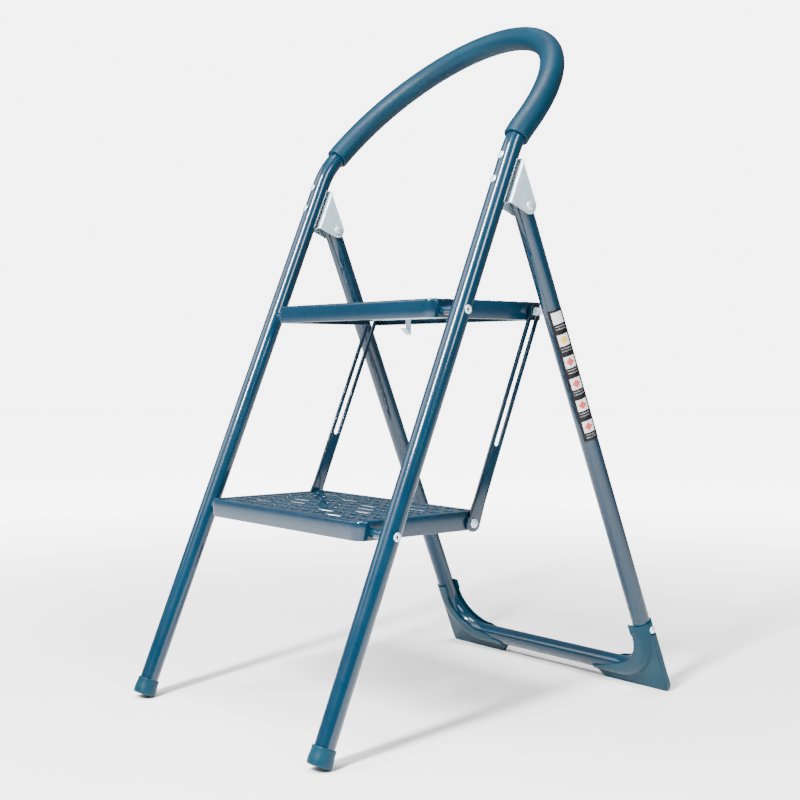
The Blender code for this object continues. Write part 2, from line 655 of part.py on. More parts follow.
def build_upper_step(axis, latch_axis, paints):
    """Upper tread with its notches for the rod, and the safety latch below it."""
    step = build_step(axis, paints, "upper", UPPER_PIVOT)
    at_rod = Matrix.Translation(ROD)
    for side in (1, -1):
        middle = side * (STEP_X - STEP_LIP / 2)
        cut(step, plate("notch", rod_notch(), middle - 0.006, middle + 0.006), at_rod @ ACROSS)
    half = LATCH_WIDTH / 2 + LATCH_EAR + 0.0015
    low = (LATCH_X - half, LATCH_PIN_BACK - 0.009, -0.03)
    back = UPPER_PIVOT.y - PIVOT_SETBACK + STEP_DEPTH - STEP_SHEET - ROD.y
    high = (LATCH_X + half, back - 0.0001, UPPER_TREAD_HEIGHT - STEP_SHEET - 0.002 - ROD.z)
    cut(step, box_mesh("latch_gap", low, high), at_rod)
    build_latch(axis, latch_axis, paints)


def build_latch(axis, latch_axis, paints):
    """Spring hook behind the rod, its pin, and the clip under the tread that carries it."""
    pin = ROD + Vector((LATCH_X, LATCH_PIN_BACK, LATCH_PIN_UP))
    eye = LATCH_EYE_D / 2
    hole = LATCH_PIN_D / 2 + PIN_FIT
    back = LATCH_SHEET / 2
    drop = LATCH_PIN_UP + LATCH_TAIL
    tip = (LATCH_TIP_BACK - LATCH_PIN_BACK, -LATCH_PIN_UP - LATCH_TIP_DROP)
    hook = arc((0, 0), eye, -60, 240, 14)
    hook += [(-back, -eye - 0.001), (-back, tip[1] - 0.003), (tip[0], tip[1]),
             (tip[0] - 0.0004, tip[1] - 0.0012), (-back - 0.001, -drop + 0.002),
             (0.0002, -drop), (back + 0.0002, -drop + 0.001), (back, -eye - 0.001)]
    half = LATCH_WIDTH / 2
    frame = Matrix.Translation(pin) @ ACROSS
    latch = piece("latch_hook", plate("latch_hook", hook, -half, half), paints["zinc"],
                  latch_axis, frame)
    drill(latch, 2 * hole, Matrix.Translation(pin) @ Matrix.Rotation(math.pi / 2, 4, 'Y'),
          -CUT, CUT)
    ear_in = half + FIT
    ear_out = ear_in + LATCH_EAR
    rise = UPPER_TREAD_HEIGHT - STEP_SHEET - FIT - pin.z
    clip = [(-eye, -eye * 0.4), (eye * 0.6, -eye), (eye, -eye * 0.4), (eye, rise), (-eye, rise)]
    body = piece("latch_clip", plate("latch_clip", clip, -ear_out, ear_out), paints["zinc"],
                 axis, frame)
    gap = box_mesh("clip_gap", (-ear_in, -0.02, -0.02), (ear_in, 0.02, rise - LATCH_EAR))
    cut(body, gap, Matrix.Translation(pin))
    drill(body, 2 * hole, Matrix.Translation(pin) @ Matrix.Rotation(math.pi / 2, 4, 'Y'),
          -CUT, CUT)
    shank = LATCH_PIN_D / 2
    face = ear_out + FIT
    profile = [(shank * 1.35, -face - 0.0008), (shank * 1.5, -face), (shank, -face),
               (shank, face), (shank * 1.5, face), (shank * 1.35, face + 0.0008)]
    piece("latch_pin", lathe("latch_pin", profile, 12), paints["zinc"], axis,
          Matrix.Translation(pin) @ Matrix.Rotation(math.pi / 2, 4, 'Y'))


# ---- slotted bars -------------------------------------------------------------------------
def bar_outline():
    """Flat bar, (y, z) from the rod with z up the bar; its lower end is a round eye."""
    half = BAR_WIDTH / 2
    waist = math.degrees(math.asin(half / BAR_EYE_R))
    outline = arc((0, -BAR_LENGTH), BAR_EYE_R, 90 + waist, 450 - waist, 14)
    outline += arc((0, BAR_TIP - half), half, 0, 180, 8)
    return outline


def build_bar(bush_axis, bar_axis, paints, side, word):
    """Slotted bar, the shouldered bush in its slot and the rivet in its lower eye."""
    frame = turned(-BAR_TILT, ROD)
    low = BAR_X if side > 0 else -BAR_OUT_X
    mesh = plate(f"slotted_bar_{word}", bar_outline(), low, low + BAR_THICK)
    bar = piece(f"slotted_bar_{word}", mesh, paints["gloss"], bar_axis, frame @ ACROSS)
    half = SLOT_WIDTH / 2
    slot = arc((0, 0), half, 0, 180, 8) + arc((0, -SLOT_TRAVEL), half, 180, 360, 8)
    cut(bar, plate("slot", slot, low - CUT, low + BAR_THICK + CUT), frame @ ACROSS)
    eye = along_x(0, LOWER_REAR.y, LOWER_REAR.z)
    hole = RIVET_D + 2 * PIN_FIT
    drill(bar, hole, eye, low - CUT, low + BAR_THICK + CUT)

    outward = Matrix.Translation((0, ROD.y, ROD.z)) @ Matrix.Rotation(side * math.pi / 2, 4, 'Y')
    inner = ROD_NECK_D / 2 + PIN_FIT
    shank = half - FIT
    face = BAR_OUT_X + FIT
    ring = [(inner, BAR_X), (shank, BAR_X), (shank, face), (SLOT_BUSH_HEAD_D / 2, face),
            (SLOT_BUSH_HEAD_D / 2, face + SLOT_BUSH_HEAD), (inner, face + SLOT_BUSH_HEAD),
            (inner, BAR_X)]
    piece(f"slot_bush_{word}", lathe("slot_bush", ring, 16), paints["zinc"], bush_axis, outward)

    rivet = Matrix.Translation((0, LOWER_REAR.y, LOWER_REAR.z)) @ Matrix.Rotation(
        side * math.pi / 2, 4, 'Y')
    shank = RIVET_D / 2
    profile = [(shank, BAR_X), (shank, face)] + dome(HINGE_HEAD_D / 2, RIVET_HEAD, face)
    piece(f"bar_rivet_{word}", lathe("bar_rivet", profile, 16), paints["zinc"], bar_axis, rivet)


# ---- whole stool --------------------------------------------------------------------------
def set_on_floor(root):
    """Move the stool so that the middle of its footprint is the origin and z = 0 the floor."""
    bpy.context.view_layer.update()
    graph = bpy.context.evaluated_depsgraph_get()
    corners = []
    for thing in bpy.context.scene.objects:
        if thing.type == 'MESH' and not thing.hide_render:
            shape = thing.evaluated_get(graph)
            corners.extend(shape.matrix_world @ Vector(corner) for corner in shape.bound_box)
    middle_x = (min(c.x for c in corners) + max(c.x for c in corners)) / 2
    middle_y = (min(c.y for c in corners) + max(c.y for c in corners)) / 2
    root.location = (-middle_x, -middle_y, 0)
    bpy.context.view_layer.update()


def build_stool():
    clear_scene()
    paints = {
        "gloss": paint("gloss_blue_paint", (0.004, 0.075, 0.16), 0.22),
        "grip": paint("grip_sleeve_blue", (0.004, 0.085, 0.17), 0.55),
        "cap": paint("foot_cap_blue", (0.005, 0.095, 0.17), 0.6),
        "shoe": paint("corner_shoe_blue", (0.004, 0.11, 0.18), 0.5),
        "zinc": paint("galvanised_steel", (0.62, 0.70, 0.74), 0.35, 1.0),
        "label": paint("label_black", (0.01, 0.01, 0.012), 0.35),
    }
    root = empty("stool", (0, 0, 0))
    front = empty("front_frame", (0, 0, 0), root)
    rear = empty("rear_frame", HINGE, root)
    upper = empty("upper_step_axis", UPPER_PIVOT, root)
    lower = empty("lower_step_axis", LOWER_PIVOT, root)
    latch_pin = ROD + Vector((LATCH_X, LATCH_PIN_BACK, LATCH_PIN_UP))
    latch = empty("latch_axis", latch_pin, upper)
    build_front(front, paints)
    build_rear(rear, paints)
    build_upper_step(upper, latch, paints)
    build_step(lower, paints, "lower", LOWER_PIVOT)
    for side, word in ((1, "right"), (-1, "left")):
        bush = empty(f"slot_bush_axis_{word}", ROD, rear)
        bar = empty(f"bar_slide_{word}", ROD, bush)
        build_bar(bush, bar, paints, side, word)
    set_on_floor(root)


build_stool()
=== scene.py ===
"""Looks of a folding two-step stool: enamelled steel tube, pressed treads, galvanised hardware.

The sections follow the stool as it is put together: front frame, rear frame, treads, slotted
bars, small hardware, then the floor, lights and camera. Lengths are metres, angles degrees.
"""
import json
import math

import bmesh
import bpy
import numpy as np
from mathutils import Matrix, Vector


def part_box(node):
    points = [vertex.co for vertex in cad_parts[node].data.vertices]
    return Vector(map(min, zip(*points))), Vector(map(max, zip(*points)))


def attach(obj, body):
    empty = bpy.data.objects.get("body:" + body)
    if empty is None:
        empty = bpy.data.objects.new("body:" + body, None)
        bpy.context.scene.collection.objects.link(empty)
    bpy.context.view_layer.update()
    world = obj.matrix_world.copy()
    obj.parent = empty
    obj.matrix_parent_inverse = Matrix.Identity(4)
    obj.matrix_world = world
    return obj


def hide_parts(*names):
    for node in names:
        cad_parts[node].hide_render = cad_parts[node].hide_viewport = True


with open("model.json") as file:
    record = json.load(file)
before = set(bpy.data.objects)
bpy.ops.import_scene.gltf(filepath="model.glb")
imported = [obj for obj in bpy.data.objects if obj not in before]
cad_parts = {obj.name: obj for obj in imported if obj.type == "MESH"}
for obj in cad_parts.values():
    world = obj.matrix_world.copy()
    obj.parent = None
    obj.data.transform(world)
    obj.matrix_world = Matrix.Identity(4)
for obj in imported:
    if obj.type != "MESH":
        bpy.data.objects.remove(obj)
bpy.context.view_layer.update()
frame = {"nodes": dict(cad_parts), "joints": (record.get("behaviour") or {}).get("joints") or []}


# ---- front tube ---------------------------------------------------------------------------
# One length of 22 mm steel tube, bent into two leaning rails and a hoop that leans further back,
# drilled for the tread pivots and dipped in gloss blue enamel before it is riveted together.
TUBE_R = 0.011
TUBE_WALL = 0.0012
FIT = 0.0003
HOOP_START = 0.690        # along the rail from the floor
HOOP_BEND_R = 0.100
HOOP_LEAN = 42.5
HOOP_STRAIGHT = 0.0067
HOOP_RISE = 0.197
FOOT_GAP = 0.0045         # floor to the lowest point of the rail's open end
RAIL_STEPS = 90
ENAMEL_DEEP = (0.0001, 0.0135, 0.030)
ENAMEL_LIGHT = (0.0002, 0.020, 0.042)


def of_joint(name, key="pos_m"):
    """A joint's place in the frame, or its axis, as an array."""
    return np.array(next(j[key] for j in frame["joints"] if j["name"] == name), float)


def unit(vector):
    return np.asarray(vector, float) / np.linalg.norm(vector)


UPPER_PIVOT = of_joint("upper_step_fold")
LOWER_PIVOT = of_joint("lower_step_fold")
HINGE = of_joint("rear_fold")
ROD = of_joint("slot_bush_turn_right")
SIDE_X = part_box("front_tube")[1].x - TUBE_R
RAIL_UP = unit(UPPER_PIVOT - LOWER_PIVOT)
RAIL_FOOT = LOWER_PIVOT - RAIL_UP * (LOWER_PIVOT[2] / RAIL_UP[2])
RAIL_BACK = np.array((0.0, RAIL_UP[2], -RAIL_UP[1]))
RAIL_LEAN = math.degrees(math.atan2(RAIL_UP[1], RAIL_UP[2]))
ACROSS = np.array((1.0, 0.0, 0.0))


def quads_over(grid, close_rows=False, close_columns=True):
    """Quads between neighbours of a grid of points, its first and last lines joined as asked."""
    rows, columns = grid.shape[:2]
    index = np.arange(rows * columns).reshape(rows, columns)
    if close_rows:
        index = np.vstack([index, index[:1]])
    if close_columns:
        index = np.hstack([index, index[:, :1]])
    quads = np.stack([index[:-1, :-1], index[:-1, 1:], index[1:, 1:], index[1:, :-1]], -1)
    return quads.reshape(-1, 4)


def mesh_of(name, points, faces):
    mesh = bpy.data.meshes.new(name)
    mesh.from_pydata(points.reshape(-1, 3).tolist(), [], faces.tolist())
    return mesh


def skin(name, grid, close_rows=False, close_columns=True):
    """A mesh over a grid of points (rows, columns, 3)."""
    return mesh_of(name, grid, quads_over(grid, close_rows, close_columns))


def welded(mesh, sharp=38.0):
    """Merges points that coincide, turns faces outwards and shades all but sharp edges smooth."""
    work = bmesh.new()
    work.from_mesh(mesh)
    bmesh.ops.remove_doubles(work, verts=work.verts, dist=2e-6)
    bmesh.ops.dissolve_degenerate(work, edges=work.edges, dist=1e-6)
    bmesh.ops.recalc_face_normals(work, faces=work.faces)
    work.to_mesh(mesh)
    work.free()
    mesh.shade_smooth()
    mesh.set_sharp_from_angle(angle=math.radians(sharp))
    return mesh


def put(mesh, material, body, slot, *stands_for):
    """An object named for its finished mesh, on its body, standing for its CAD nodes."""
    made = bpy.data.objects.new(mesh.name, mesh)
    bpy.context.scene.collection.objects.link(made)
    mesh.materials.clear()
    mesh.materials.append(material)
    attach(made, body)
    if stands_for:
        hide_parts(*stands_for)
    return made


def run_of(points):
    """A line through points, as the points and their distances along it."""
    steps = np.linalg.norm(np.diff(points, axis=0), axis=1)
    return points, np.concatenate([[0.0], np.cumsum(steps)])


def straight(start, direction):
    """A run one metre long from a point."""
    return run_of(np.array([start, np.asarray(start) + unit(direction)]))


def along(run, distance):
    """Points and directions of a run at distances along it, straight past its ends."""
    points, lengths = run
    slopes = np.gradient(points, lengths, axis=0)
    place = np.stack([np.interp(distance, lengths, points[:, k]) for k in range(3)], -1)
    ahead = np.stack([np.interp(distance, lengths, slopes[:, k]) for k in range(3)], -1)
    past = distance - np.clip(distance, 0, lengths[-1])
    return place + ahead * past[:, None], ahead / np.linalg.norm(ahead, axis=1)[:, None]


def turned(name, run, profile, sides=40, guide=(0.0, 0.0, 1.0), hollow=False):
    """A body turned round a run: point = line(s) + r (side cos a + up sin a).

    profile is a list of (s, r); a hollow one closes on itself, a solid one ends on the line.
    """
    s, r = np.asarray(profile, float).T
    place, ahead = along(run, s)
    side = np.cross(ahead, guide)
    side /= np.linalg.norm(side, axis=1)[:, None]
    up = np.cross(side, ahead)
    angle = np.linspace(0, 2 * np.pi, sides, endpoint=False)
    spoke = side[:, None] * np.cos(angle)[None, :, None] + up[:, None] * np.sin(angle)[None, :, None]
    return welded(skin(name, place[:, None] + r[:, None, None] * spoke, close_rows=hollow))


def pipe(start, end, outer, inner, step, lip=0.0002):
    """Closed profile of a tube wall from start to end, with softened rims."""
    s = np.linspace(start + lip, end - lip, max(2, int((end - start) / step)))
    outside = np.stack([s, np.full_like(s, outer)], -1)
    inside = np.stack([s[::-1], np.full_like(s, inner)], -1)
    far = [(end, outer - lip), (end, inner + lip)]
    near = [(start, inner + lip), (start, outer - lip)]
    return np.vstack([outside, far, inside, near])


def front_line():
    """Centre line of the front tube: rail, circular bend, half ellipse, and back down.

    The hoop is base + SIDE_X cos(a) across + HOOP_RISE sin(a) up, for a from 0 to 180.
    """
    low = (FOOT_GAP + TUBE_R * RAIL_UP[1]) / RAIL_UP[2]
    tilt = np.radians(np.linspace(RAIL_LEAN, HOOP_LEAN, 24))
    centre = RAIL_FOOT + RAIL_UP * HOOP_START + RAIL_BACK * HOOP_BEND_R
    bend = centre - HOOP_BEND_R * np.stack([0 * tilt, np.cos(tilt), -np.sin(tilt)], -1)
    rail = RAIL_FOOT + RAIL_UP * np.linspace(low, HOOP_START, RAIL_STEPS)[:-1, None]
    lean = math.radians(HOOP_LEAN)
    up = np.array((0.0, math.sin(lean), math.cos(lean)))
    base = bend[-1] + up * HOOP_STRAIGHT
    leg = np.vstack([rail, bend])
    a = np.linspace(0, np.pi, 240)[:, None]
    hoop = base + ACROSS * SIDE_X * np.cos(a) + up * HOOP_RISE * np.sin(a)
    return np.vstack([leg + ACROSS * SIDE_X, hoop, leg[::-1] - ACROSS * SIDE_X])


def shader(name):
    """A material with one Principled shader, its tree, and the object's own coordinates."""
    made = bpy.data.materials.new(name)
    made.use_nodes = True
    tree = made.node_tree
    return made, tree, tree.nodes["Principled BSDF"], tree.nodes.new("ShaderNodeTexCoord").outputs["Object"]


def grain(tree, vector, scale, detail=3.0, rough=0.55, stretch=None):
    """Noise at a scale per metre; stretch scales the axes first, for brushed or drawn grain."""
    if stretch:
        mapping = tree.nodes.new("ShaderNodeMapping")
        mapping.inputs["Scale"].default_value = stretch
        tree.links.new(vector, mapping.inputs["Vector"])
        vector = mapping.outputs["Vector"]
    noise = tree.nodes.new("ShaderNodeTexNoise")
    noise.inputs["Scale"].default_value = scale
    noise.inputs["Detail"].default_value = detail
    noise.inputs["Roughness"].default_value = rough
    tree.links.new(vector, noise.inputs["Vector"])
    return noise.outputs["Fac"]


def blend_colours(tree, share, low, high, between=(0.35, 0.65)):
    """A colour that runs from low to high as share passes between two values."""
    ramp = tree.nodes.new("ShaderNodeValToRGB")
    ramp.color_ramp.elements[0].position = between[0]
    ramp.color_ramp.elements[0].color = (*low, 1)
    ramp.color_ramp.elements[1].position = between[1]
    ramp.color_ramp.elements[1].color = (*high, 1)
    tree.links.new(share, ramp.inputs["Fac"])
    return ramp.outputs["Color"]


def spread(tree, share, low, high, between=(0.3, 0.7), kind='LINEAR'):
    """A value that runs from low to high as share, such as noise, passes between two values."""
    ranged = tree.nodes.new("ShaderNodeMapRange")
    ranged.interpolation_type = kind
    ranged.inputs["From Min"].default_value = between[0]
    ranged.inputs["From Max"].default_value = between[1]
    ranged.inputs["To Min"].default_value = low
    ranged.inputs["To Max"].default_value = high
    tree.links.new(share, ranged.inputs["Value"])
    return ranged.outputs["Result"]


def relief(tree, share, depth, strength=1.0, below=None):
    """A bump of a given depth, laid over another bump if there is one."""
    bump = tree.nodes.new("ShaderNodeBump")
    bump.inputs["Strength"].default_value = strength
    bump.inputs["Distance"].default_value = depth
    tree.links.new(share, bump.inputs["Height"])
    if below:
        tree.links.new(below, bump.inputs["Normal"])
    return bump.outputs["Normal"]


def gloss_enamel():
    """Thick blue enamel: slow drifts of tone, orange peel, a few dull patches, a hard coat."""
    made, tree, paint, where = shader("gloss_enamel")
    tone = blend_colours(tree, grain(tree, where, 9, 2), ENAMEL_DEEP, ENAMEL_LIGHT, (0.3, 0.72))
    tree.links.new(tone, paint.inputs["Base Color"])
    tree.links.new(spread(tree, grain(tree, where, 40, 4), 0.26, 0.36), paint.inputs["Roughness"])
    tree.links.new(relief(tree, grain(tree, where, 420, 1), 0.000006, 0.25), paint.inputs["Normal"])
    paint.inputs["Specular IOR Level"].default_value = 0.16
    paint.inputs["Coat Weight"].default_value = 0.7
    paint.inputs["Coat Roughness"].default_value = 0.07
    return made


ENAMEL = gloss_enamel()
FRONT_RUN = run_of(front_line())
FRONT_LENGTH = FRONT_RUN[1][-1]
HOOP_GUIDE = np.array((0.0, -math.cos(math.radians(HOOP_LEAN)), math.sin(math.radians(HOOP_LEAN))))
put(turned("front_tube_skin", FRONT_RUN, pipe(0, FRONT_LENGTH, TUBE_R, TUBE_R - TUBE_WALL, 0.006),
           36, HOOP_GUIDE, hollow=True),
    ENAMEL, "front_frame", "gloss_blue_paint", "front_tube")


# ---- grip sleeve --------------------------------------------------------------------------
# A soft PVC sleeve pushed over the hoop while warm. It is matt, with a fine pebble from its
# mould, and its two cut ends are rounded over and stand a little off the tube.
GRIP_WALL = 0.0034
GRIP_FROM_RIGHT = 0.026
GRIP_FROM_LEFT = 0.052
GRIP_LIP = 0.0013


def rounded_pipe(start, end, outer, inner, lip, step=0.004):
    """Closed profile of a thick sleeve whose outer rims are quarter rounds of radius lip."""
    a = np.linspace(0, np.pi / 2, 7)
    s = np.arange(start + lip, end - lip, step)
    body = np.stack([s, np.full_like(s, outer)], -1)
    far = np.stack([end - lip + lip * np.sin(a), outer - lip + lip * np.cos(a)], -1)
    near = np.stack([start + lip - lip * np.cos(a), outer - lip + lip * np.sin(a)], -1)
    bore = np.stack([np.append(s[::-1], start + lip), np.full(len(s) + 1, inner)], -1)
    return np.vstack([body, far, [(end, inner + 0.0004), (end - 0.0004, inner)], bore,
                      [(start + 0.0004, inner), (start, inner + 0.0004)], near[:-1]])


def soft_sleeve():
    """Matt PVC: a soft sheen, pebble of about a millimetre and broad handling marks."""
    made, tree, vinyl, where = shader("soft_pvc")
    tone = blend_colours(tree, grain(tree, where, 14, 3), (0.0002, 0.015, 0.030), (0.0004, 0.021, 0.040),
                         (0.3, 0.7))
    tree.links.new(tone, vinyl.inputs["Base Color"])
    tree.links.new(spread(tree, grain(tree, where, 120, 3), 0.42, 0.54), vinyl.inputs["Roughness"])
    pebble = relief(tree, grain(tree, where, 1500, 2), 0.00006, 0.5)
    tree.links.new(relief(tree, grain(tree, where, 90, 2), 0.0002, 0.35, pebble), vinyl.inputs["Normal"])
    vinyl.inputs["Specular IOR Level"].default_value = 0.16
    return made


PVC = soft_sleeve()
RAIL_RUN = FRONT_RUN[1][RAIL_STEPS - 2]      # length of rail below the bend
grip_start = RAIL_RUN + GRIP_FROM_RIGHT
grip_end = FRONT_LENGTH - RAIL_RUN - GRIP_FROM_LEFT
grip_profile = rounded_pipe(grip_start, grip_end, TUBE_R + FIT + GRIP_WALL, TUBE_R + FIT, GRIP_LIP)
put(turned("grip_sleeve_soft", FRONT_RUN, grip_profile, 48, HOOP_GUIDE, hollow=True),
    PVC, "front_frame", "grip_sleeve_blue", "grip_sleeve")


# ---- foot caps ----------------------------------------------------------------------------
# Moulded rubber ferrules pushed over the open rail ends and cut square to the rail, so that each
# stands on the rear of its sole. The rim is slightly rolled and the sole's edge rounded.
CAP_WALL = 0.0021
CAP_HEIGHT = 0.019
CAP_EDGE = 0.0022
CAP_FLAT = 0.0005


def moulded_rubber(name, low, high, rough, pebble_depth):
    """Moulded rubber or plastic: fine spark-eroded texture, flow marks, slightly dusty tone."""
    made, tree, body, where = shader(name)
    tree.links.new(blend_colours(tree, grain(tree, where, 30, 4), low, high), body.inputs["Base Color"])
    tree.links.new(spread(tree, grain(tree, where, 160, 3), rough, rough + 0.12), body.inputs["Roughness"])
    texture = relief(tree, grain(tree, where, 2200, 2), pebble_depth, 0.5)
    tree.links.new(relief(tree, grain(tree, where, 140, 3), 0.00010, 0.4, texture), body.inputs["Normal"])
    body.inputs["Specular IOR Level"].default_value = 0.18
    return made


def foot_cap(name, x):
    """Ferrule turned round the rail's line: flat sole, quarter round, waisted wall, rolled rim.

    Its sole lies where the rounded rear edge touches the floor, sunk by the worn flat; points
    below the floor are lifted onto it, which makes that flat.
    """
    outer = TUBE_R + FIT + CAP_WALL
    bore = TUBE_R + FIT
    lean = ((outer - CAP_EDGE) * RAIL_UP[1] + CAP_EDGE) / RAIL_UP[2]
    low = lean - CAP_EDGE - CAP_FLAT
    top = low + CAP_HEIGHT
    seat = (FOOT_GAP + TUBE_R * RAIL_UP[1]) / RAIL_UP[2] - FIT
    q = np.linspace(0, np.pi / 2, 9)
    edge = np.stack([low + CAP_EDGE - CAP_EDGE * np.cos(q), outer - CAP_EDGE + CAP_EDGE * np.sin(q)], -1)
    t = np.linspace(0, 1, 9)[1:]
    wall = np.stack([low + CAP_EDGE + (CAP_HEIGHT - CAP_EDGE - 0.0016) * t,
                     outer - 0.0005 * t + 0.0002 * np.sin(2 * np.pi * t)], -1)
    q = np.linspace(0, np.pi, 8)
    rim = np.stack([top - 0.0008 + 0.0008 * np.sin(q), outer - 0.0013 + 0.0008 * np.cos(q)], -1)
    profile = np.vstack([[(low, 0.0), (low + 0.0004, 0.004), (low + 0.0004, 0.0075), (low, 0.0079)],
                         edge, wall, rim, [(top - 0.0010, bore), (seat, bore), (seat, 0.0)]])
    mesh = turned(name, straight(RAIL_FOOT + ACROSS * x, RAIL_UP), profile, 56, ACROSS)
    points = np.zeros(len(mesh.vertices) * 3)
    mesh.vertices.foreach_get("co", points)
    points[2::3] = np.maximum(points[2::3], 0.0)
    mesh.vertices.foreach_set("co", points)
    return mesh


SIDES = ((1, "right"), (-1, "left"))
RUBBER = moulded_rubber("foot_rubber", (0.0001, 0.021, 0.038), (0.0002, 0.028, 0.048), 0.38, 0.00004)
for side, word in SIDES:
    put(foot_cap(f"foot_cap_{word}_moulded", side * SIDE_X),
        RUBBER, "front_frame", "foot_cap_blue", f"foot_cap_{word}")


# ---- hinge brackets -----------------------------------------------------------------------
# Zinc-plated sheet, pressed into a U whose web is riveted behind the rail. The two ears taper
# from the hinge eye up to the web and carry the pin that the rear frame folds on.
BRACKET_SHEET = 0.0015
BRACKET_TOP = 0.0385      # ear's top above the hinge
BRACKET_WEB_TOP = 0.0446
BRACKET_EYE_R = 0.0098
BRACKET_BEND_R = 0.0022
BRACKET_TOP_R = 0.0022
EAR_GAP = 0.0005          # tube to each ear
HINGE_SETBACK = float(np.dot(HINGE - RAIL_FOOT, RAIL_BACK))
HINGE_ALONG = float(np.dot(HINGE - RAIL_FOOT, RAIL_UP))
BRACKET_RIVETS = (0.0086, 0.0386)


def zinc_plate(name="zinc_plate"):
    """Bright zinc: pale bluish metal, drawn grain, faint clouding and blurred reflections."""
    made, tree, metal, where = shader(name)
    cloud = grain(tree, where, 130, 4)
    tree.links.new(blend_colours(tree, cloud, (0.46, 0.62, 0.70), (0.60, 0.74, 0.80), (0.2, 0.8)),
                   metal.inputs["Base Color"])
    tree.links.new(spread(tree, grain(tree, where, 420, 3), 0.30, 0.42), metal.inputs["Roughness"])
    drawn = grain(tree, where, 260, 2, stretch=(1.0, 1.0, 7.0))
    tree.links.new(relief(tree, drawn, 0.000005, 0.2), metal.inputs["Normal"])
    metal.inputs["Metallic"].default_value = 0.55
    return made


def bracket(name, x):
    """Sheet U: at height h the section runs ear, bend, web, bend, ear; the ears' depth follows
    the eye, sqrt(r^2 - h^2), and above its tangent point a straight line to the top of the web."""
    half = TUBE_R + EAR_GAP + BRACKET_SHEET          # outer face of an ear
    web = TUBE_R + FIT                               # front face of the web, behind the rail
    reach = HINGE_SETBACK - web                      # web to hinge
    tip = np.array((-reach + 0.0030, BRACKET_TOP))
    lean = math.atan2(tip[1], tip[0]) - math.acos(BRACKET_EYE_R / np.hypot(*tip))
    touch = BRACKET_EYE_R * np.array((math.cos(lean), math.sin(lean)))
    soft = BRACKET_TOP - BRACKET_TOP_R
    round_top = soft + BRACKET_TOP_R * np.sin(np.linspace(0, np.pi / 2, 8))
    h = np.concatenate([-BRACKET_EYE_R * np.cos(np.linspace(0, np.pi / 2, 10))[:-1],
                        np.linspace(0, touch[1], 5), np.linspace(touch[1], soft, 16)[1:], round_top[1:],
                        [BRACKET_TOP + 0.0004, BRACKET_WEB_TOP - 0.0008, BRACKET_WEB_TOP]])
    eye = np.sqrt(np.maximum(BRACKET_EYE_R ** 2 - h ** 2, 0))
    line = touch[0] + (h - touch[1]) * (tip[0] - touch[0]) / (tip[1] - touch[1])
    fall = 1 - np.sqrt(np.maximum(0, 1 - (np.maximum(h - soft, 0) / BRACKET_TOP_R) ** 2))
    bend = BRACKET_BEND_R
    depth = reach + np.where(h <= touch[1], eye, line) - 0.0024 * fall
    depth = np.where(h > BRACKET_TOP, bend + 0.0001, depth)
    quarter = np.linspace(0, np.pi / 2, 7)
    flat = np.linspace(0, 1, 9)[:-1]
    side_y = bend + (depth[:, None] - bend) * (1 - flat)[None]
    bend_y = np.broadcast_to(bend * (1 - np.sin(quarter)), (len(h), 7))
    half_y = np.hstack([side_y, bend_y])
    side_x = np.full((len(h), len(flat)), half)
    bend_x = np.broadcast_to(half - bend * (1 - np.cos(quarter)), (len(h), 7))
    half_x = np.hstack([side_x, bend_x])
    y = np.hstack([half_y, half_y[:, ::-1]])
    sideways = np.hstack([half_x, -half_x[:, ::-1]])
    grid = (RAIL_FOOT + ACROSS * (x + sideways[..., None]) + RAIL_BACK * (web + y[..., None])
            + RAIL_UP * (HINGE_ALONG + h[:, None, None]))
    mesh = welded(skin(name, grid, close_columns=False))
    inward = np.mean([face.normal.x * (face.center.x - x) for face in mesh.polygons]) < 0
    if inward:
        mesh.flip_normals()
    return mesh


ZINC = zinc_plate()
for side, word in SIDES:
    made = put(bracket(f"hinge_bracket_{word}_pressed", side * SIDE_X),
               ZINC, "front_frame", "galvanised_steel", f"hinge_bracket_{word}")
    wall = made.modifiers.new("sheet", 'SOLIDIFY')
    wall.thickness = BRACKET_SHEET
    wall.offset = -1
    rim = made.modifiers.new("rim", 'BEVEL')
    rim.width = 0.00035
    rim.segments = 2
    rim.limit_method = 'ANGLE'
    rim.angle_limit = math.radians(60)


# ---- rivets, pins and bushes of the front frame -------------------------------------------
# Zinc-plated steel rivets with low domed heads hold the brackets; tubular rivets, rolled over
# at both ends, carry the treads through short enamelled bushes.
RIVET_R = 0.00225
RIVET_HEAD_R = 0.0045
RIVET_HEAD = 0.0020
PIN_R = 0.003
PIN_HEAD_R = 0.00525
STEP_X = 0.1515           # half the tread's width
STEP_SHEET = 0.0012


def dome(radius, rise, s):
    """Half profile of a low domed head that starts at s: (s, r) from its rim to its crown."""
    q = np.linspace(0, np.pi / 2, 8)
    return np.vstack([[(s, radius * 0.94)], np.stack([s + rise * (0.25 + 0.75 * np.sin(q)),
                                                      radius * np.cos(q)], -1)])


def mirrored(profile):
    """A profile followed by its own mirror image about s = 0."""
    back = np.asarray(profile)[::-1] * (-1, 1)
    return np.vstack([profile, back])


def add_bracket_rivets(word, x):
    for height, level in zip(BRACKET_RIVETS, ("low", "high")):
        centre = RAIL_FOOT + ACROSS * x + RAIL_UP * (HINGE_ALONG + height)
        head = dome(RIVET_HEAD_R, RIVET_HEAD, TUBE_R + FIT)[::-1] * (-1, 1)
        back = TUBE_R + 2 * FIT + BRACKET_SHEET
        tail = [(-TUBE_R - FIT, RIVET_R), (back, RIVET_R), (back, RIVET_R * 1.5),
                (back + 0.0009, RIVET_R * 1.4), (back + 0.0013, RIVET_R * 0.7), (back + 0.0013, 0.0)]
        name = f"bracket_rivet_{level}_{word}"
        put(turned(f"{name}_domed", straight(centre, RAIL_BACK), np.vstack([head, tail]), 28, ACROSS),
            ZINC, "front_frame", "galvanised_steel", name)


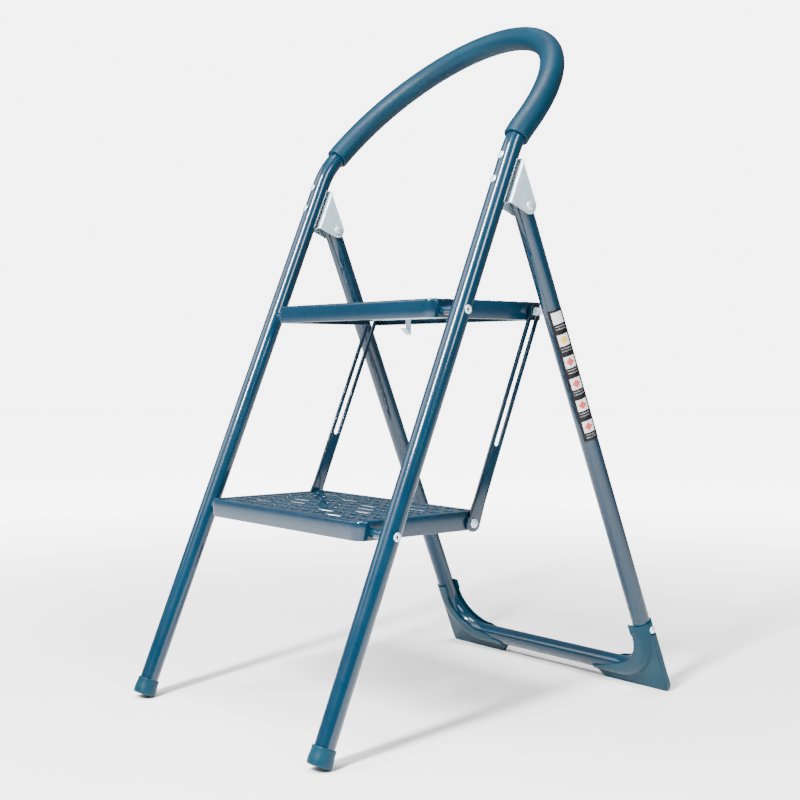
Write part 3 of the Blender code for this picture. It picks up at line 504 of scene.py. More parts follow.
def add_hinge_pin(word, x):
    face = TUBE_R + EAR_GAP + BRACKET_SHEET + FIT
    half = np.vstack([dome(PIN_HEAD_R, RIVET_HEAD, face)[::-1], [(face, PIN_R)]])
    name = f"hinge_pin_{word}"
    put(turned(f"{name}_domed", straight(HINGE + ACROSS * x, ACROSS), mirrored(half), 32),
        ZINC, "front_frame", "galvanised_steel", name)


def add_tread_pivot(level, word, side, place):
    """Tubular rivet, rolled over outside the rail and inside the skirt, and its spacing bush."""
    face = SIDE_X + TUBE_R + FIT
    inner = STEP_X - STEP_SHEET - FIT
    bore = 0.0016
    q = np.linspace(-0.35 * np.pi, np.pi, 9)
    roll = np.stack([face + 0.0003 + 0.0012 * (0.3 + 0.7 * np.sin(q)), 0.0032 + 0.0017 * np.cos(q)], -1)
    tail = [(face - 0.001, bore), (inner - 0.0012, bore), (inner - 0.0014, 0.0022),
            (inner - 0.0010, 0.0043), (inner, 0.0044), (inner, PIN_R)]
    profile = np.vstack([[(face, PIN_R), (face, 0.0046)], roll[1:], tail])
    run = straight(place, ACROSS * side)
    name = f"{level}_{word}_pivot_rivet"
    put(turned(f"{name}_rolled", run, profile, 28, hollow=True),
        ZINC, "front_frame", "galvanised_steel", name)
    name = f"{level}_{word}_pivot_bush"
    ring = rounded_pipe(STEP_X + FIT, SIDE_X - TUBE_R - FIT, 0.00525, PIN_R + FIT, 0.0005, 0.003)
    put(turned(f"{name}_enamelled", run, ring, 28, hollow=True),
        ENAMEL, "front_frame", "gloss_blue_paint", name)


for side, word in SIDES:
    add_bracket_rivets(word, side * SIDE_X)
    add_hinge_pin(word, side * SIDE_X)
    add_tread_pivot("upper", word, side, UPPER_PIVOT)
    add_tread_pivot("lower", word, side, LOWER_PIVOT)


# ---- rear tube ----------------------------------------------------------------------------
# A second length of the same tube, bent twice into a U. Its open top ends sit between the
# bracket ears and its crossbar lies close to the floor between the two corner shoes.
REAR_BEND_R = 0.055
LEG_TOP_END = 0.012
CROSSBAR_HEIGHT = 0.0222  # floor to the crossbar's line
LEG_DOWN = unit(ROD - HINGE)
LEG_LENGTH = (HINGE[2] - CROSSBAR_HEIGHT) / -LEG_DOWN[2]
LEG_BACK = np.array((0.0, -LEG_DOWN[2], LEG_DOWN[1]))     # square to the rear frame, rearwards


def rear_line():
    """Two straight legs, two circular bends and the crossbar, in the rear frame's own plane."""
    q = np.linspace(0, np.pi / 2, 30)[:, None]
    corner = HINGE + LEG_DOWN * (LEG_LENGTH - REAR_BEND_R)
    centre = corner + ACROSS * (SIDE_X - REAR_BEND_R)
    bend = centre + REAR_BEND_R * (ACROSS * np.cos(q) + LEG_DOWN * np.sin(q))
    top = HINGE - LEG_DOWN * LEG_TOP_END + ACROSS * SIDE_X
    share = np.linspace(0, 1, 40)[:-1, None]
    half = np.vstack([top + (bend[0] - top) * share, bend])
    return np.vstack([half, half[::-1] * (-1, 1, 1)])


REAR_RUN = run_of(rear_line())
put(turned("rear_tube_skin", REAR_RUN, pipe(0, REAR_RUN[1][-1], TUBE_R, TUBE_R - TUBE_WALL, 0.005),
           36, LEG_BACK, hollow=True),
    ENAMEL, "rear_frame", "gloss_blue_paint", "rear_tube")


# ---- corner shoes -------------------------------------------------------------------------
# Moulded nylon shoes. A U channel, open towards the middle of the stool, grips the outside of
# each bend, with a clip on each wall, a web out to the toe and a flat sole on the floor.
SHOE_WALL = 0.0015
SHOE_TOP = REAR_BEND_R + 0.015
SHOE_REACH = 0.0095
SHOE_CLIP = (0.0022, 0.0145)
SHOE_ARM_END = 0.086
SHOE_ARM_REACH = -0.0024
SHOE_WEB_HALF = 0.0045
SHOE_RIB = TUBE_R + FIT + SHOE_WALL + 0.0013
SHOE_TOE = 0.0160
SHOE_CORNER_R = 0.010
SHOE_SLOPE = 0.012
SHOE_FILLET = 0.0012
SHOE_TIP_R = 0.0016
SHOE_RIVET_DROP = 0.009


def arc(centre, radius, start, end, steps):
    """Points (x, y) on an arc, angles in degrees, both ends included."""
    q = np.radians(np.linspace(start, end, steps))
    return np.stack([centre[0] + radius * np.cos(q), centre[1] + radius * np.sin(q)], -1)


def inset(loop, amount):
    """A loop (points, 2) moved inwards square to itself, for loops that run anticlockwise."""
    ahead = np.roll(loop, -1, axis=0) - np.roll(loop, 1, axis=0)
    ahead /= np.linalg.norm(ahead, axis=1)[:, None]
    return loop + amount * np.stack([-ahead[:, 1], ahead[:, 0]], -1)


def capped(mesh, count):
    """Fills the first and the last row of a mesh made by skin, of count points each."""
    work = bmesh.new()
    work.from_mesh(mesh)
    work.verts.ensure_lookup_table()
    work.faces.new(work.verts[:count][::-1])
    work.faces.new(work.verts[-count:])
    work.to_mesh(mesh)
    work.free()
    return mesh


def carve(mesh, *tools):
    """The mesh with tool meshes taken out of it, by exact Booleans that are applied at once."""
    name = mesh.name
    body = bpy.data.objects.new("uncut", mesh)
    bpy.context.scene.collection.objects.link(body)
    for tool in tools:
        cutter = bpy.data.objects.new("tool", tool)
        bpy.context.scene.collection.objects.link(cutter)
        step = body.modifiers.new("cut", 'BOOLEAN')
        step.operation = 'DIFFERENCE'
        step.solver = 'EXACT'
        step.object = cutter
    bpy.context.view_layer.update()
    graph = bpy.context.evaluated_depsgraph_get()
    result = bpy.data.meshes.new_from_object(body.evaluated_get(graph))
    for used in (mesh, *tools):           # takes the objects with them
        bpy.data.meshes.remove(used)
    result.name = name
    return welded(result)


def block(name, low, high):
    """A box between two corners, as a tool mesh."""
    x, y, z = (np.array((a, b)) for a, b in zip(low, high))
    points = np.array([(x[i], y[j], z[k]) for k in (0, 1) for i, j in ((0, 0), (1, 0), (1, 1), (0, 1))])
    faces = np.array([(3, 2, 1, 0), (4, 5, 6, 7), (0, 1, 5, 4), (1, 2, 6, 5), (2, 3, 7, 6), (3, 0, 4, 7)])
    return welded(mesh_of(name, points, faces))


def shoe_tips(turns):
    """Reach of the web past the tube's line along rays from the bend's centre: the nearest of
    the lines that touch the outer corner's round from square outwards to square down."""
    sole = CROSSBAR_HEIGHT / LEG_DOWN[2] - 0.002
    corner = np.array((SHOE_TOE - SHOE_CORNER_R + REAR_BEND_R, sole + SHOE_CORNER_R - REAR_BEND_R))
    q = np.radians(np.linspace(0, -90, 13))
    squares = np.stack([np.cos(q), np.sin(q)], -1)
    rays = np.stack([np.cos(turns), -np.sin(turns)], -1)
    across = squares @ rays.T
    far = (squares @ corner + SHOE_CORNER_R)[:, None] / np.maximum(across, 0.02)
    return np.where(across > 0.05, far, 1.0).min(0) - REAR_BEND_R


def shoe_section(reach, tip):
    """Sections (stations, points, 2) as (outwards, rearwards): walls, web and round channel."""
    inner, outer = TUBE_R + FIT, TUBE_R + FIT + SHOE_WALL
    short = np.maximum(0, -reach)
    start_out, start_in = np.arccos(short / outer), np.arccos(short / inner)
    low = math.asin((SHOE_WEB_HALF + SHOE_FILLET) / outer)
    t = np.linspace(0, 1, 14)
    a = 0.97 * start_out[:, None] + (low - 0.97 * start_out[:, None]) * t
    wall = np.stack([outer * np.cos(a), outer * np.sin(a)], -1)
    top = np.stack([-reach, outer * np.sin(start_out)], -1)[:, None]
    soft = np.stack([-reach + 0.0002, outer * np.sin(start_out) - 0.0001], -1)[:, None]
    lip = np.stack([-reach, outer * np.sin(start_out) - 0.0005], -1)[:, None]
    corner = np.array((outer * math.cos(low), SHOE_WEB_HALF + SHOE_FILLET))
    fillet = np.array([(0.0005, -0.0006), (0.0011, -0.0010), (0.0019, -0.0012)]) + corner
    q = np.linspace(0, np.pi / 2, 6)
    end = np.stack([tip[:, None] - SHOE_TIP_R * (1 - np.sin(q)), np.broadcast_to(
        SHOE_WEB_HALF - SHOE_TIP_R * (1 - np.cos(q)), (len(tip), len(q)))], -1)
    fillet = np.broadcast_to(fillet, (len(tip), 3, 2)).copy()
    fillet[..., 0] = np.minimum(fillet[..., 0], tip[:, None] - SHOE_TIP_R - (0.0003, 0.0002, 0.0001))
    half = np.concatenate([lip, soft, top + (0.0010, 0.0), wall, fillet, end], 1)
    t = np.linspace(-1, 1, 29)
    a = 0.97 * start_in[:, None] * t
    seat = np.stack([inner * np.cos(a), inner * np.sin(a)], -1)
    edge = np.stack([-reach, inner * np.sin(start_in)], -1)[:, None]
    return np.concatenate([half, half[:, ::-1] * (1, -1), edge * (1, -1), seat, edge], 1)


def in_rear_plane(side):
    """Maps (x out, y up the leg, z rearwards) of one side to the frame."""
    foot = HINGE + LEG_DOWN * LEG_LENGTH

    def place(points):
        return (foot + ACROSS * side * points[..., 0:1] - LEG_DOWN * points[..., 1:2]
                + LEG_BACK * points[..., 2:3])
    return place


def shoe_body(name, side):
    """The shoe's sections carried down the leg, round the bend and along the arm."""
    low = SHOE_TOP - SHOE_CLIP[1]
    above = np.array((SHOE_TOP - 0.0004, SHOE_TOP - 0.0008, low + 0.006, low + 0.0006, low, low - 0.0006,
                      REAR_BEND_R + 0.0002))
    above[-1] = min(above[-1], low - 0.0008)
    share = 1 - above / SHOE_TOP
    clip = np.array((1.0, 1, 1, 0.9, 0.5, 0.1, 0))
    turns = np.linspace(0, np.pi / 2, 40)
    arm = np.linspace(SIDE_X - REAR_BEND_R, SHOE_ARM_END, 24)[1:]
    grow = np.minimum(1, (arm - SHOE_ARM_END) / SHOE_SLOPE)
    sole = 0.002 - CROSSBAR_HEIGHT / LEG_DOWN[2]
    x = np.concatenate([np.full(len(above), SIDE_X), SIDE_X - REAR_BEND_R + REAR_BEND_R * np.cos(turns), arm])
    y = np.concatenate([above, REAR_BEND_R - REAR_BEND_R * np.sin(turns), 0 * arm])
    turn = np.concatenate([0 * above, turns, np.full(len(arm), np.pi / 2)])
    reach_turn = SHOE_REACH - 0.0018 * np.clip((np.degrees(turns) - 64) / 26, 0, 1)
    reach_arm = np.interp(arm, (SHOE_ARM_END, SHOE_ARM_END + 0.012, SHOE_ARM_END + 0.016, arm[0]),
                          (SHOE_ARM_REACH, 0.0, 0.0006, reach_turn[-1]))
    reach = np.concatenate([SHOE_REACH + SHOE_CLIP[0] * clip, reach_turn, reach_arm])
    tip = np.concatenate([SHOE_RIB + (SHOE_TOE - SHOE_RIB) * share, shoe_tips(turns),
                          SHOE_RIB + (sole - SHOE_RIB) * grow])
    section = shoe_section(reach, tip)
    points = np.stack([x[:, None] + section[..., 0] * np.cos(turn)[:, None],
                       y[:, None] - section[..., 0] * np.sin(turn)[:, None], section[..., 1]], -1)
    rim = points[0] * 0.985 + points[0].mean(0) * 0.015
    rim[:, 1] = SHOE_TOP
    tail = points[-1] * 0.985 + points[-1].mean(0) * 0.015
    tail[:, 0] = SHOE_ARM_END - 0.0004
    grid = np.concatenate([rim[None], points, tail[None]])
    mesh = skin(name, in_rear_plane(side)(grid))
    return welded(capped(mesh, grid.shape[1]), 42)


NYLON = moulded_rubber("moulded_nylon", (0.0001, 0.022, 0.039), (0.0002, 0.029, 0.049), 0.30, 0.00003)
for side, word in SIDES:
    foot_y = (HINGE + LEG_DOWN * LEG_LENGTH)[1]
    floor = block("under", (-0.3, foot_y - 0.1, -0.1), (0.3, foot_y + 0.1, 0.0))
    put(carve(shoe_body(f"corner_shoe_{word}_moulded", side), floor),
        NYLON, "rear_frame", "corner_shoe_blue", f"corner_shoe_{word}")
    # rivet through the channel's back into the leg
    centre = HINGE + LEG_DOWN * (LEG_LENGTH - SHOE_TOP + SHOE_RIVET_DROP) + ACROSS * side * SIDE_X
    name = f"shoe_rivet_{word}"
    face = SHOE_RIB + 2 * FIT
    profile = np.vstack([[(TUBE_R - 0.0032, 0.0), (TUBE_R - 0.0032, RIVET_R), (face, RIVET_R)],
                         dome(RIVET_HEAD_R, RIVET_HEAD, face)])
    put(turned(f"{name}_domed", straight(centre, ACROSS * side), profile, 28),
        ZINC, "rear_frame", "galvanised_steel", name)


# ---- rest rod and its spacers -------------------------------------------------------------
# A zinc-plated rod between the legs that the upper tread's notched skirt sits on. Its necked
# ends pass through the bushes in the bar slots, with a loose spacer against each leg.
ROD_R = 0.004
ROD_NECK_R = 0.0021
BAR_X = STEP_X + 0.0008
BAR_THICK = 0.003
SLOT_BUSH_HEAD = 0.0014
rod_half = [(SIDE_X - TUBE_R - FIT, 0.0), (SIDE_X - TUBE_R - FIT, ROD_NECK_R), (BAR_X - 0.0004, ROD_NECK_R),
            (BAR_X - 0.0004, ROD_R - 0.0003), (BAR_X - 0.0007, ROD_R)]
put(turned("rest_rod_turned", straight(ROD, ACROSS), mirrored(rod_half), 32),
    ZINC, "rear_frame", "galvanised_steel", "rest_rod")
spacer_low = BAR_X + BAR_THICK + 2 * FIT + SLOT_BUSH_HEAD
spacer = rounded_pipe(spacer_low, SIDE_X - TUBE_R - FIT - 0.0006, 0.00425, ROD_NECK_R + FIT, 0.0004, 0.003)
for side, word in SIDES:
    put(turned(f"rod_spacer_{word}_turned", straight(ROD, ACROSS * side), spacer, 28, hollow=True),
        ZINC, "rear_frame", "galvanised_steel", f"rod_spacer_{word}")


# ---- leg label ----------------------------------------------------------------------------
# A strip of black printed film stuck along the outer side of the right leg, with a column of
# pale squares under a clear laminate: one blank, one with a yellow diamond, four with red ones.
LABEL_TOP = 0.123
LABEL_LENGTH = 0.162
LABEL_FROM = -74.0
LABEL_TO = 34.0
LABEL_FILM = 0.0002
LABEL_SQUARES = 6.0


def label_film():
    """Black film; v runs up a column of six squares, each above two broken bars.

    The top square is blank and the others carry a diamond, |u - u0| a + |v - v0| b < 1.
    """
    made, tree, film, where = shader("label_film")
    uv = tree.nodes.new("ShaderNodeUVMap")
    uv.uv_map = "strip"
    split = tree.nodes.new("ShaderNodeSeparateXYZ")
    tree.links.new(uv.outputs["UV"], split.inputs["Vector"])

    def sum_of(kind, a, b=0):
        node = tree.nodes.new("ShaderNodeMath")
        node.operation = kind
        for socket, value in zip(node.inputs, (a, b)):
            if isinstance(value, (int, float)):
                socket.default_value = value
            else:
                tree.links.new(value, socket)
        return node.outputs[0]

    def off(value, centre):
        return sum_of('ABSOLUTE', sum_of('SUBTRACT', value, centre))

    def within(value, centre, half):
        return sum_of('LESS_THAN', off(value, centre), half)

    def mixed(share, low, high):
        node = tree.nodes.new("ShaderNodeMix")
        node.data_type = 'RGBA'
        for socket, value in (("A", low), ("B", high), ("Factor", share)):
            if isinstance(value, tuple):
                node.inputs[socket].default_value = (*value, 1)
            else:
                tree.links.new(value, node.inputs[socket])
        return node.outputs["Result"]

    u, v = split.outputs["X"], split.outputs["Y"]
    cells = sum_of('MULTIPLY', v, LABEL_SQUARES)
    in_cell = sum_of('FRACT', cells)
    number = sum_of('FLOOR', cells)
    square = sum_of('MULTIPLY', within(in_cell, 0.64, 0.26), within(u, 0.48, 0.32))
    reach = sum_of('ADD', sum_of('MULTIPLY', off(u, 0.48), 4.2), sum_of('MULTIPLY', off(in_cell, 0.64), 5.2))
    mark = sum_of('LESS_THAN', reach, 1.0)
    plain = within(number, 5.0, 0.4)
    line = sum_of('MAXIMUM', within(in_cell, 0.27, 0.028), within(in_cell, 0.15, 0.028))
    broken = sum_of('GREATER_THAN', grain(tree, where, 1100, 1), 0.47)
    bars = sum_of('MULTIPLY', sum_of('MULTIPLY', line, within(u, 0.48, 0.30)), broken)
    shown = sum_of('MAXIMUM', square, sum_of('MULTIPLY', bars, 0.35))
    diamond = mixed(within(number, 4.0, 0.4), (0.42, 0.06, 0.05), (0.55, 0.38, 0.01))
    marked = sum_of('MULTIPLY', sum_of('SUBTRACT', 1.0, plain), mark)
    black = blend_colours(tree, grain(tree, where, 80, 3), (0.002, 0.002, 0.003), (0.005, 0.005, 0.006))
    ink = mixed(shown, black, mixed(marked, (0.50, 0.50, 0.52), diamond))
    tree.links.new(ink, film.inputs["Base Color"])
    tree.links.new(spread(tree, grain(tree, where, 300, 3), 0.26, 0.38), film.inputs["Roughness"])
    tree.links.new(relief(tree, grain(tree, where, 250, 2), 0.00001, 0.3), film.inputs["Normal"])
    film.inputs["Specular IOR Level"].default_value = 0.15
    return made


def label_strip(name):
    """Film at radius r round the leg's line, with its edges turned down onto the enamel."""
    low = TUBE_R + FIT
    a = np.radians(np.linspace(LABEL_FROM, LABEL_TO, 40))
    r = np.concatenate([[low], np.full(len(a), low + LABEL_FILM), [low]])
    a = np.concatenate([[a[0]], a, [a[-1]]])
    s = np.linspace(LABEL_TOP, LABEL_TOP + LABEL_LENGTH, 30)
    spoke = np.cos(a)[:, None] * ACROSS + np.sin(a)[:, None] * LEG_BACK
    line = HINGE + ACROSS * SIDE_X + LEG_DOWN * s[:, None, None]
    grid = np.concatenate([line + r[:, None] * spoke, (line + low * spoke)[::-1]])
    mesh = welded(skin(name, grid, close_rows=True, close_columns=False))
    layer = mesh.uv_layers.new(name="strip")
    points = np.zeros(len(mesh.vertices) * 3)
    mesh.vertices.foreach_get("co", points)
    offset = points.reshape(-1, 3) - (HINGE + ACROSS * SIDE_X)
    angle = np.degrees(np.arctan2(offset @ LEG_BACK, offset @ ACROSS))
    u = (angle - LABEL_FROM) / (LABEL_TO - LABEL_FROM)
    v = 1 - (offset @ LEG_DOWN - LABEL_TOP) / LABEL_LENGTH
    corner = np.zeros(len(mesh.loops), int)
    mesh.loops.foreach_get("vertex_index", corner)
    layer.data.foreach_set("uv", np.stack([u, v], -1)[corner].ravel())
    return mesh


put(label_strip("leg_label_film"), label_film(), "rear_frame", "label_black", "leg_label")


# ---- treads -------------------------------------------------------------------------------
# Deep-pressed steel pans. The flat is pierced with rows of round holes, broken by a few long
# slots, all with upset rims for grip; the skirt turns down 21 mm and ends in a narrow hem.
STEP_DEPTH = 0.171
STEP_SKIRT = 0.021
STEP_LIP = 0.006
STEP_FRONT_R = 0.014
STEP_REAR_R = 0.005
STEP_EDGE_R = 0.0025
PIVOT_DROP = 0.013
PIVOT_SETBACK = 0.0185
COLUMNS = 14
ROWS = 8
PITCH_X = 0.021
PITCH_Y = 0.020
FRONT_MARGIN = 0.0062     # front face to the first row of cells
HOLE_R = 0.0044
SLOT_HALF = 0.0135        # between a slot's middle and the centre of its round end
SLOT_STARTS = ((1, 10), (2, 8), (4, 10), (3, 9), (1, 8), (5, 11), (2, 10), (4, 8))
RIM_RISE = 0.0008
CELL_STEPS = 8            # points along one pitch of a cell's edge


def cell_grid(pitches):
    """One pierced cell: rings from its edge in to the hole, over the rim, down and out again.

    The hole is all points at HOLE_R from a segment; a ring at distance d outside it lies along
    the line from the segment's nearest point c to the edge point q: c + (HOLE_R + d) unit(q - c).
    """
    x = pitches * PITCH_X / 2
    y = PITCH_Y / 2
    wide = np.linspace(-x, x, CELL_STEPS * pitches, endpoint=False)
    tall = np.linspace(-y, y, CELL_STEPS, endpoint=False)
    half = np.concatenate([np.stack([wide, np.full_like(wide, -y)], -1),
                           np.stack([np.full_like(tall, x), tall], -1)])
    edge = np.concatenate([half, -half])
    reach = SLOT_HALF if pitches == 2 else 0.0
    heart = np.stack([np.clip(edge[:, 0], -reach, reach), np.zeros(len(edge))], -1)
    spoke = edge - heart
    spoke /= np.linalg.norm(spoke, axis=1)[:, None]
    away = np.array((0.0031, 0.0024, 0.0017, 0.0011, 0.0006, 0.0002, 0.0, 0.0, 0.0004, 0.0014, 0.0024))
    q = np.clip((0.0028 - away[:6]) / 0.0022, 0, 1)
    rise = RIM_RISE * (3 * q ** 2 - 2 * q ** 3)
    height = np.concatenate([rise[:5], [RIM_RISE * 0.86, RIM_RISE * 0.45, -0.0003, -0.00055, -0.0008,
                                        -STEP_SHEET]])
    rings = heart[None] + spoke[None] * (HOLE_R + away)[:, None, None]
    flat = np.concatenate([edge[None], rings, edge[None]])
    z = np.concatenate([[0.0], height, [-STEP_SHEET]])
    return np.concatenate([flat, np.broadcast_to(z[:, None, None], (len(z), len(edge), 1))], -1)


def repeat_cells(grid, centres):
    """Points and quads of one cell's grid, set at each centre."""
    points = grid[None] + centres[:, None, None, :]
    shift = np.arange(len(centres))[:, None, None] * grid[..., 0].size
    return points.reshape(-1, 3), (quads_over(grid)[None] + shift).reshape(-1, 4)


def side_points(count, half_x, low_y, high_y, radii):
    """Count points per side of a rounded rectangle, each side running from the middle of one
    corner's arc to the middle of the next; radii are the front and the rear ones."""
    corners = ((-half_x, low_y, radii[0]), (half_x, low_y, radii[0]),
               (half_x, high_y, radii[1]), (-half_x, high_y, radii[1]))
    inward = ((1, 1), (-1, 1), (-1, -1), (1, -1))
    points = []
    for k in range(4):
        (ax, ay, ar), (bx, by, br) = corners[k], corners[(k + 1) % 4]
        (ai, aj), (bi, bj) = inward[k], inward[(k + 1) % 4]
        start = arc((ax + ai * ar, ay + aj * ar), ar, 225 + 90 * k, 270 + 90 * k, 9)
        end = arc((bx + bi * br, by + bj * br), br, 270 + 90 * k, 315 + 90 * k, 9)
        line, lengths = run_of(np.vstack([start, end]))
        walk = np.linspace(0, lengths[-1], count[k], endpoint=False)
        points.append(np.stack([np.interp(walk, lengths, line[:, j]) for j in (0, 1)], -1))
    return np.vstack(points)


def tread_mesh(name, pivot):
    """The pierced flat, cell by cell, and the pan's edge, skirt and hem as rings round it."""
    centres, long_centres = [], []
    left = -COLUMNS * PITCH_X / 2
    front = -PIVOT_SETBACK + FRONT_MARGIN
    for row, starts in enumerate(SLOT_STARTS):
        y = front + (row + 0.5) * PITCH_Y
        taken = {c for start in starts for c in (start, start + 1)}
        long_centres += [(left + (start + 1) * PITCH_X, y, PIVOT_DROP) for start in starts]
        centres += [(left + (c + 0.5) * PITCH_X, y, PIVOT_DROP)
                    for c in range(COLUMNS) if c not in taken]
    parts = [repeat_cells(cell_grid(1), np.array(centres)),
             repeat_cells(cell_grid(2), np.array(long_centres))]
    count = (COLUMNS * CELL_STEPS, ROWS * CELL_STEPS) * 2
    high = front + ROWS * PITCH_Y
    frame_edge = side_points(count, -left, front, high, (0.0, 0.0))
    back = STEP_DEPTH - PIVOT_SETBACK

    def outline(amount):
        radii = [max(r - amount, 0.0006) for r in (STEP_FRONT_R, STEP_REAR_R)]
        return side_points(count, STEP_X - amount, -PIVOT_SETBACK + amount, back - amount, radii)

    q = np.linspace(0, np.pi / 2, 6)
    edge = [(STEP_EDGE_R * (1 - math.sin(a)), -STEP_EDGE_R * (1 - math.cos(a))) for a in q]
    hem = [(0.0, -STEP_SKIRT + 0.0010), (0.0003, -STEP_SKIRT + 0.0003), (0.0010, -STEP_SKIRT),
           (STEP_LIP - 0.0005, -STEP_SKIRT), (STEP_LIP, -STEP_SKIRT + 0.0005),
           (STEP_LIP - 0.0002, -STEP_SKIRT + STEP_SHEET), (STEP_SHEET + 0.0004, -STEP_SKIRT + STEP_SHEET),
           (STEP_SHEET, -STEP_SKIRT + STEP_SHEET + 0.0004)]
    inside = [(STEP_SHEET, -STEP_EDGE_R), (STEP_SHEET + 0.0006, -STEP_SHEET - 0.0004),
              (STEP_EDGE_R, -STEP_SHEET)]
    rings = [np.column_stack([outline(d), np.full(sum(count), z)]) for d, z in edge + hem + inside]
    rings = [np.column_stack([frame_edge, np.zeros(sum(count))])] + rings
    rings.append(np.column_stack([frame_edge, np.full(sum(count), -STEP_SHEET)]))
    grid = np.array(rings) + (0, 0, PIVOT_DROP)
    parts.append(repeat_cells(grid, np.zeros((1, 3))))
    points = np.vstack([p for p, _ in parts])
    starts = np.cumsum([0] + [len(p) for p, _ in parts[:-1]])
    quads = np.vstack([f + s for (_, f), s in zip(parts, starts)])
    return welded(mesh_of(name, points + pivot, quads), 50)


def notch_tool(side):
    """Tool for a rod notch in the side skirt: round above the rod, opening down and forwards."""
    radius = ROD_R + 2 * FIT
    drop = ROD[2] - (UPPER_PIVOT[2] + PIVOT_DROP - STEP_SKIRT) + 0.003
    slide = 0.72 * drop
    loop = np.vstack([arc((0, 0), radius, 0, 180, 13),
                      [(-radius - slide, -drop), (radius - slide * 0.4, -drop)]])
    x = side * (STEP_X - STEP_LIP / 2)
    grid = np.array([[(x + w, ROD[1] + py, ROD[2] + pz) for py, pz in loop] for w in (-0.006, 0.006)])
    return welded(capped(skin("notch", grid), len(loop)))


put(tread_mesh("lower_tread_pressed", LOWER_PIVOT), ENAMEL, "lower_step", "gloss_blue_paint", "lower_step")
clip_low, clip_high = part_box("latch_clip")
hem_gap = block("hem_gap", (clip_low.x - 0.0012, ROD[1] - 0.0018, ROD[2] - 0.03),
                (clip_high.x + 0.0012, UPPER_PIVOT[1] - PIVOT_SETBACK + STEP_DEPTH - STEP_SHEET - 0.0001,
                 UPPER_PIVOT[2] + PIVOT_DROP - STEP_SHEET - 0.003))
put(carve(tread_mesh("upper_tread_pressed", UPPER_PIVOT), notch_tool(1), notch_tool(-1), hem_gap),
    ENAMEL, "upper_step", "gloss_blue_paint", "upper_step")


# ---- slotted bars -------------------------------------------------------------------------
# Flat steel bars, slotted for most of their length. A shouldered bush runs in each slot on the
# end of the rest rod, and a domed rivet joins the round lower eye to the lower tread.
BAR_HALF = 0.008
BAR_EYE_R = 0.0098
BAR_TIP = 0.009
BAR_ARRIS = 0.0004
SLOT_WIDTH = 0.0066
SLOT_TRAVEL = 0.163
BAR_UP = unit(of_joint("bar_slide_right", "axis"))
LOWER_REAR = LOWER_PIVOT + np.array((0.0, ROD[1] - UPPER_PIVOT[1], 0.0))
BAR_LENGTH = float(np.linalg.norm(ROD - LOWER_REAR))
BAR_SIDE = np.array((0.0, BAR_UP[2], -BAR_UP[1]))


def bar_mesh(name, x_low):
    """A strip between two loops, the outline and the slot, with small rounded arrises.

    Both loops are stadiums walked by the same shares: round end, side, round end, side.
    """
    waist = math.degrees(math.asin(BAR_HALF / BAR_EYE_R))
    eye_start = -BAR_LENGTH + BAR_EYE_R * math.cos(math.radians(waist))
    side_share = np.linspace(0, 1, 40)[1:-1]
    shoulder = BAR_TIP - BAR_HALF
    top = arc((0, shoulder), BAR_HALF, 0, 180, 17)
    left = np.stack([np.full(38, -BAR_HALF), shoulder + (eye_start - shoulder) * side_share], -1)
    eye = arc((0, -BAR_LENGTH), BAR_EYE_R, 90 + waist, 450 - waist, 25)
    right = left[::-1] * (-1, 1)
    outer = np.vstack([top, left, eye, right])
    half = SLOT_WIDTH / 2
    hole_left = np.stack([np.full(38, -half), -SLOT_TRAVEL * side_share], -1)
    hole = np.vstack([arc((0, 0), half, 0, 180, 17), hole_left,
                      arc((0, -SLOT_TRAVEL), half, 180, 360, 25), hole_left[::-1] * (-1, 1)])
    low, high = x_low, x_low + BAR_THICK
    steps = ((1.0, 0.0), (0.3, 0.3), (0.0, 1.0))      # shares of the arris: down the side, inwards
    rings = [(inset(outer, 0), low + BAR_ARRIS)]
    rings += [(inset(outer, BAR_ARRIS * b), high - BAR_ARRIS * a) for a, b in steps]
    rings += [(inset(hole, -BAR_ARRIS * b), high - BAR_ARRIS * a) for a, b in steps[::-1]]
    rings += [(inset(hole, -BAR_ARRIS * b), low + BAR_ARRIS * a) for a, b in steps]
    rings += [(inset(outer, BAR_ARRIS * b), low + BAR_ARRIS * a) for a, b in steps[:0:-1]]
    grid = np.array([ROD + ACROSS * x + loop[:, :1] * BAR_SIDE + loop[:, 1:] * BAR_UP
                     for loop, x in rings])
    return welded(skin(name, grid, close_rows=True), 50)


for side, word in SIDES:
    name = f"slotted_bar_{word}"
    low = BAR_X if side > 0 else -BAR_X - BAR_THICK
    put(bar_mesh(f"{name}_pressed", low), ENAMEL, f"bar_{word}", "gloss_blue_paint", name)
    face = BAR_X + BAR_THICK + FIT
    inner = ROD_NECK_R + FIT
    name = f"slot_bush_{word}"
    flange = [(BAR_X, inner), (BAR_X, SLOT_WIDTH / 2 - FIT), (face, SLOT_WIDTH / 2 - FIT), (face, 0.0048),
              (face + 0.0002, 0.0050), (face + SLOT_BUSH_HEAD - 0.0003, 0.0050), (face + SLOT_BUSH_HEAD, 0.0047),
              (face + SLOT_BUSH_HEAD, inner)]
    put(turned(f"{name}_turned", straight(ROD, ACROSS * side), flange, 32, hollow=True),
        ZINC, f"slot_bush_{word}", "galvanised_steel", name)
    name = f"bar_rivet_{word}"
    shank = [(BAR_X, 0.0), (BAR_X, RIVET_R), (face, RIVET_R)]
    profile = np.vstack([shank, dome(PIN_HEAD_R, RIVET_HEAD, face)])
    put(turned(f"{name}_domed", straight(LOWER_REAR, ACROSS * side), profile, 32),
        ZINC, f"bar_{word}", "galvanised_steel", name)


# ---- safety latch -------------------------------------------------------------------------
# A small zinc-plated hook hangs from a clip under the upper tread and catches behind the rod.
# Its bent plate, clip and pin keep their solids and take the plated finish.
for name in ("latch_hook", "latch_clip", "latch_pin"):
    latch_part = frame["nodes"][name]
    latch_part.data.materials.clear()
    latch_part.data.materials.append(ZINC)


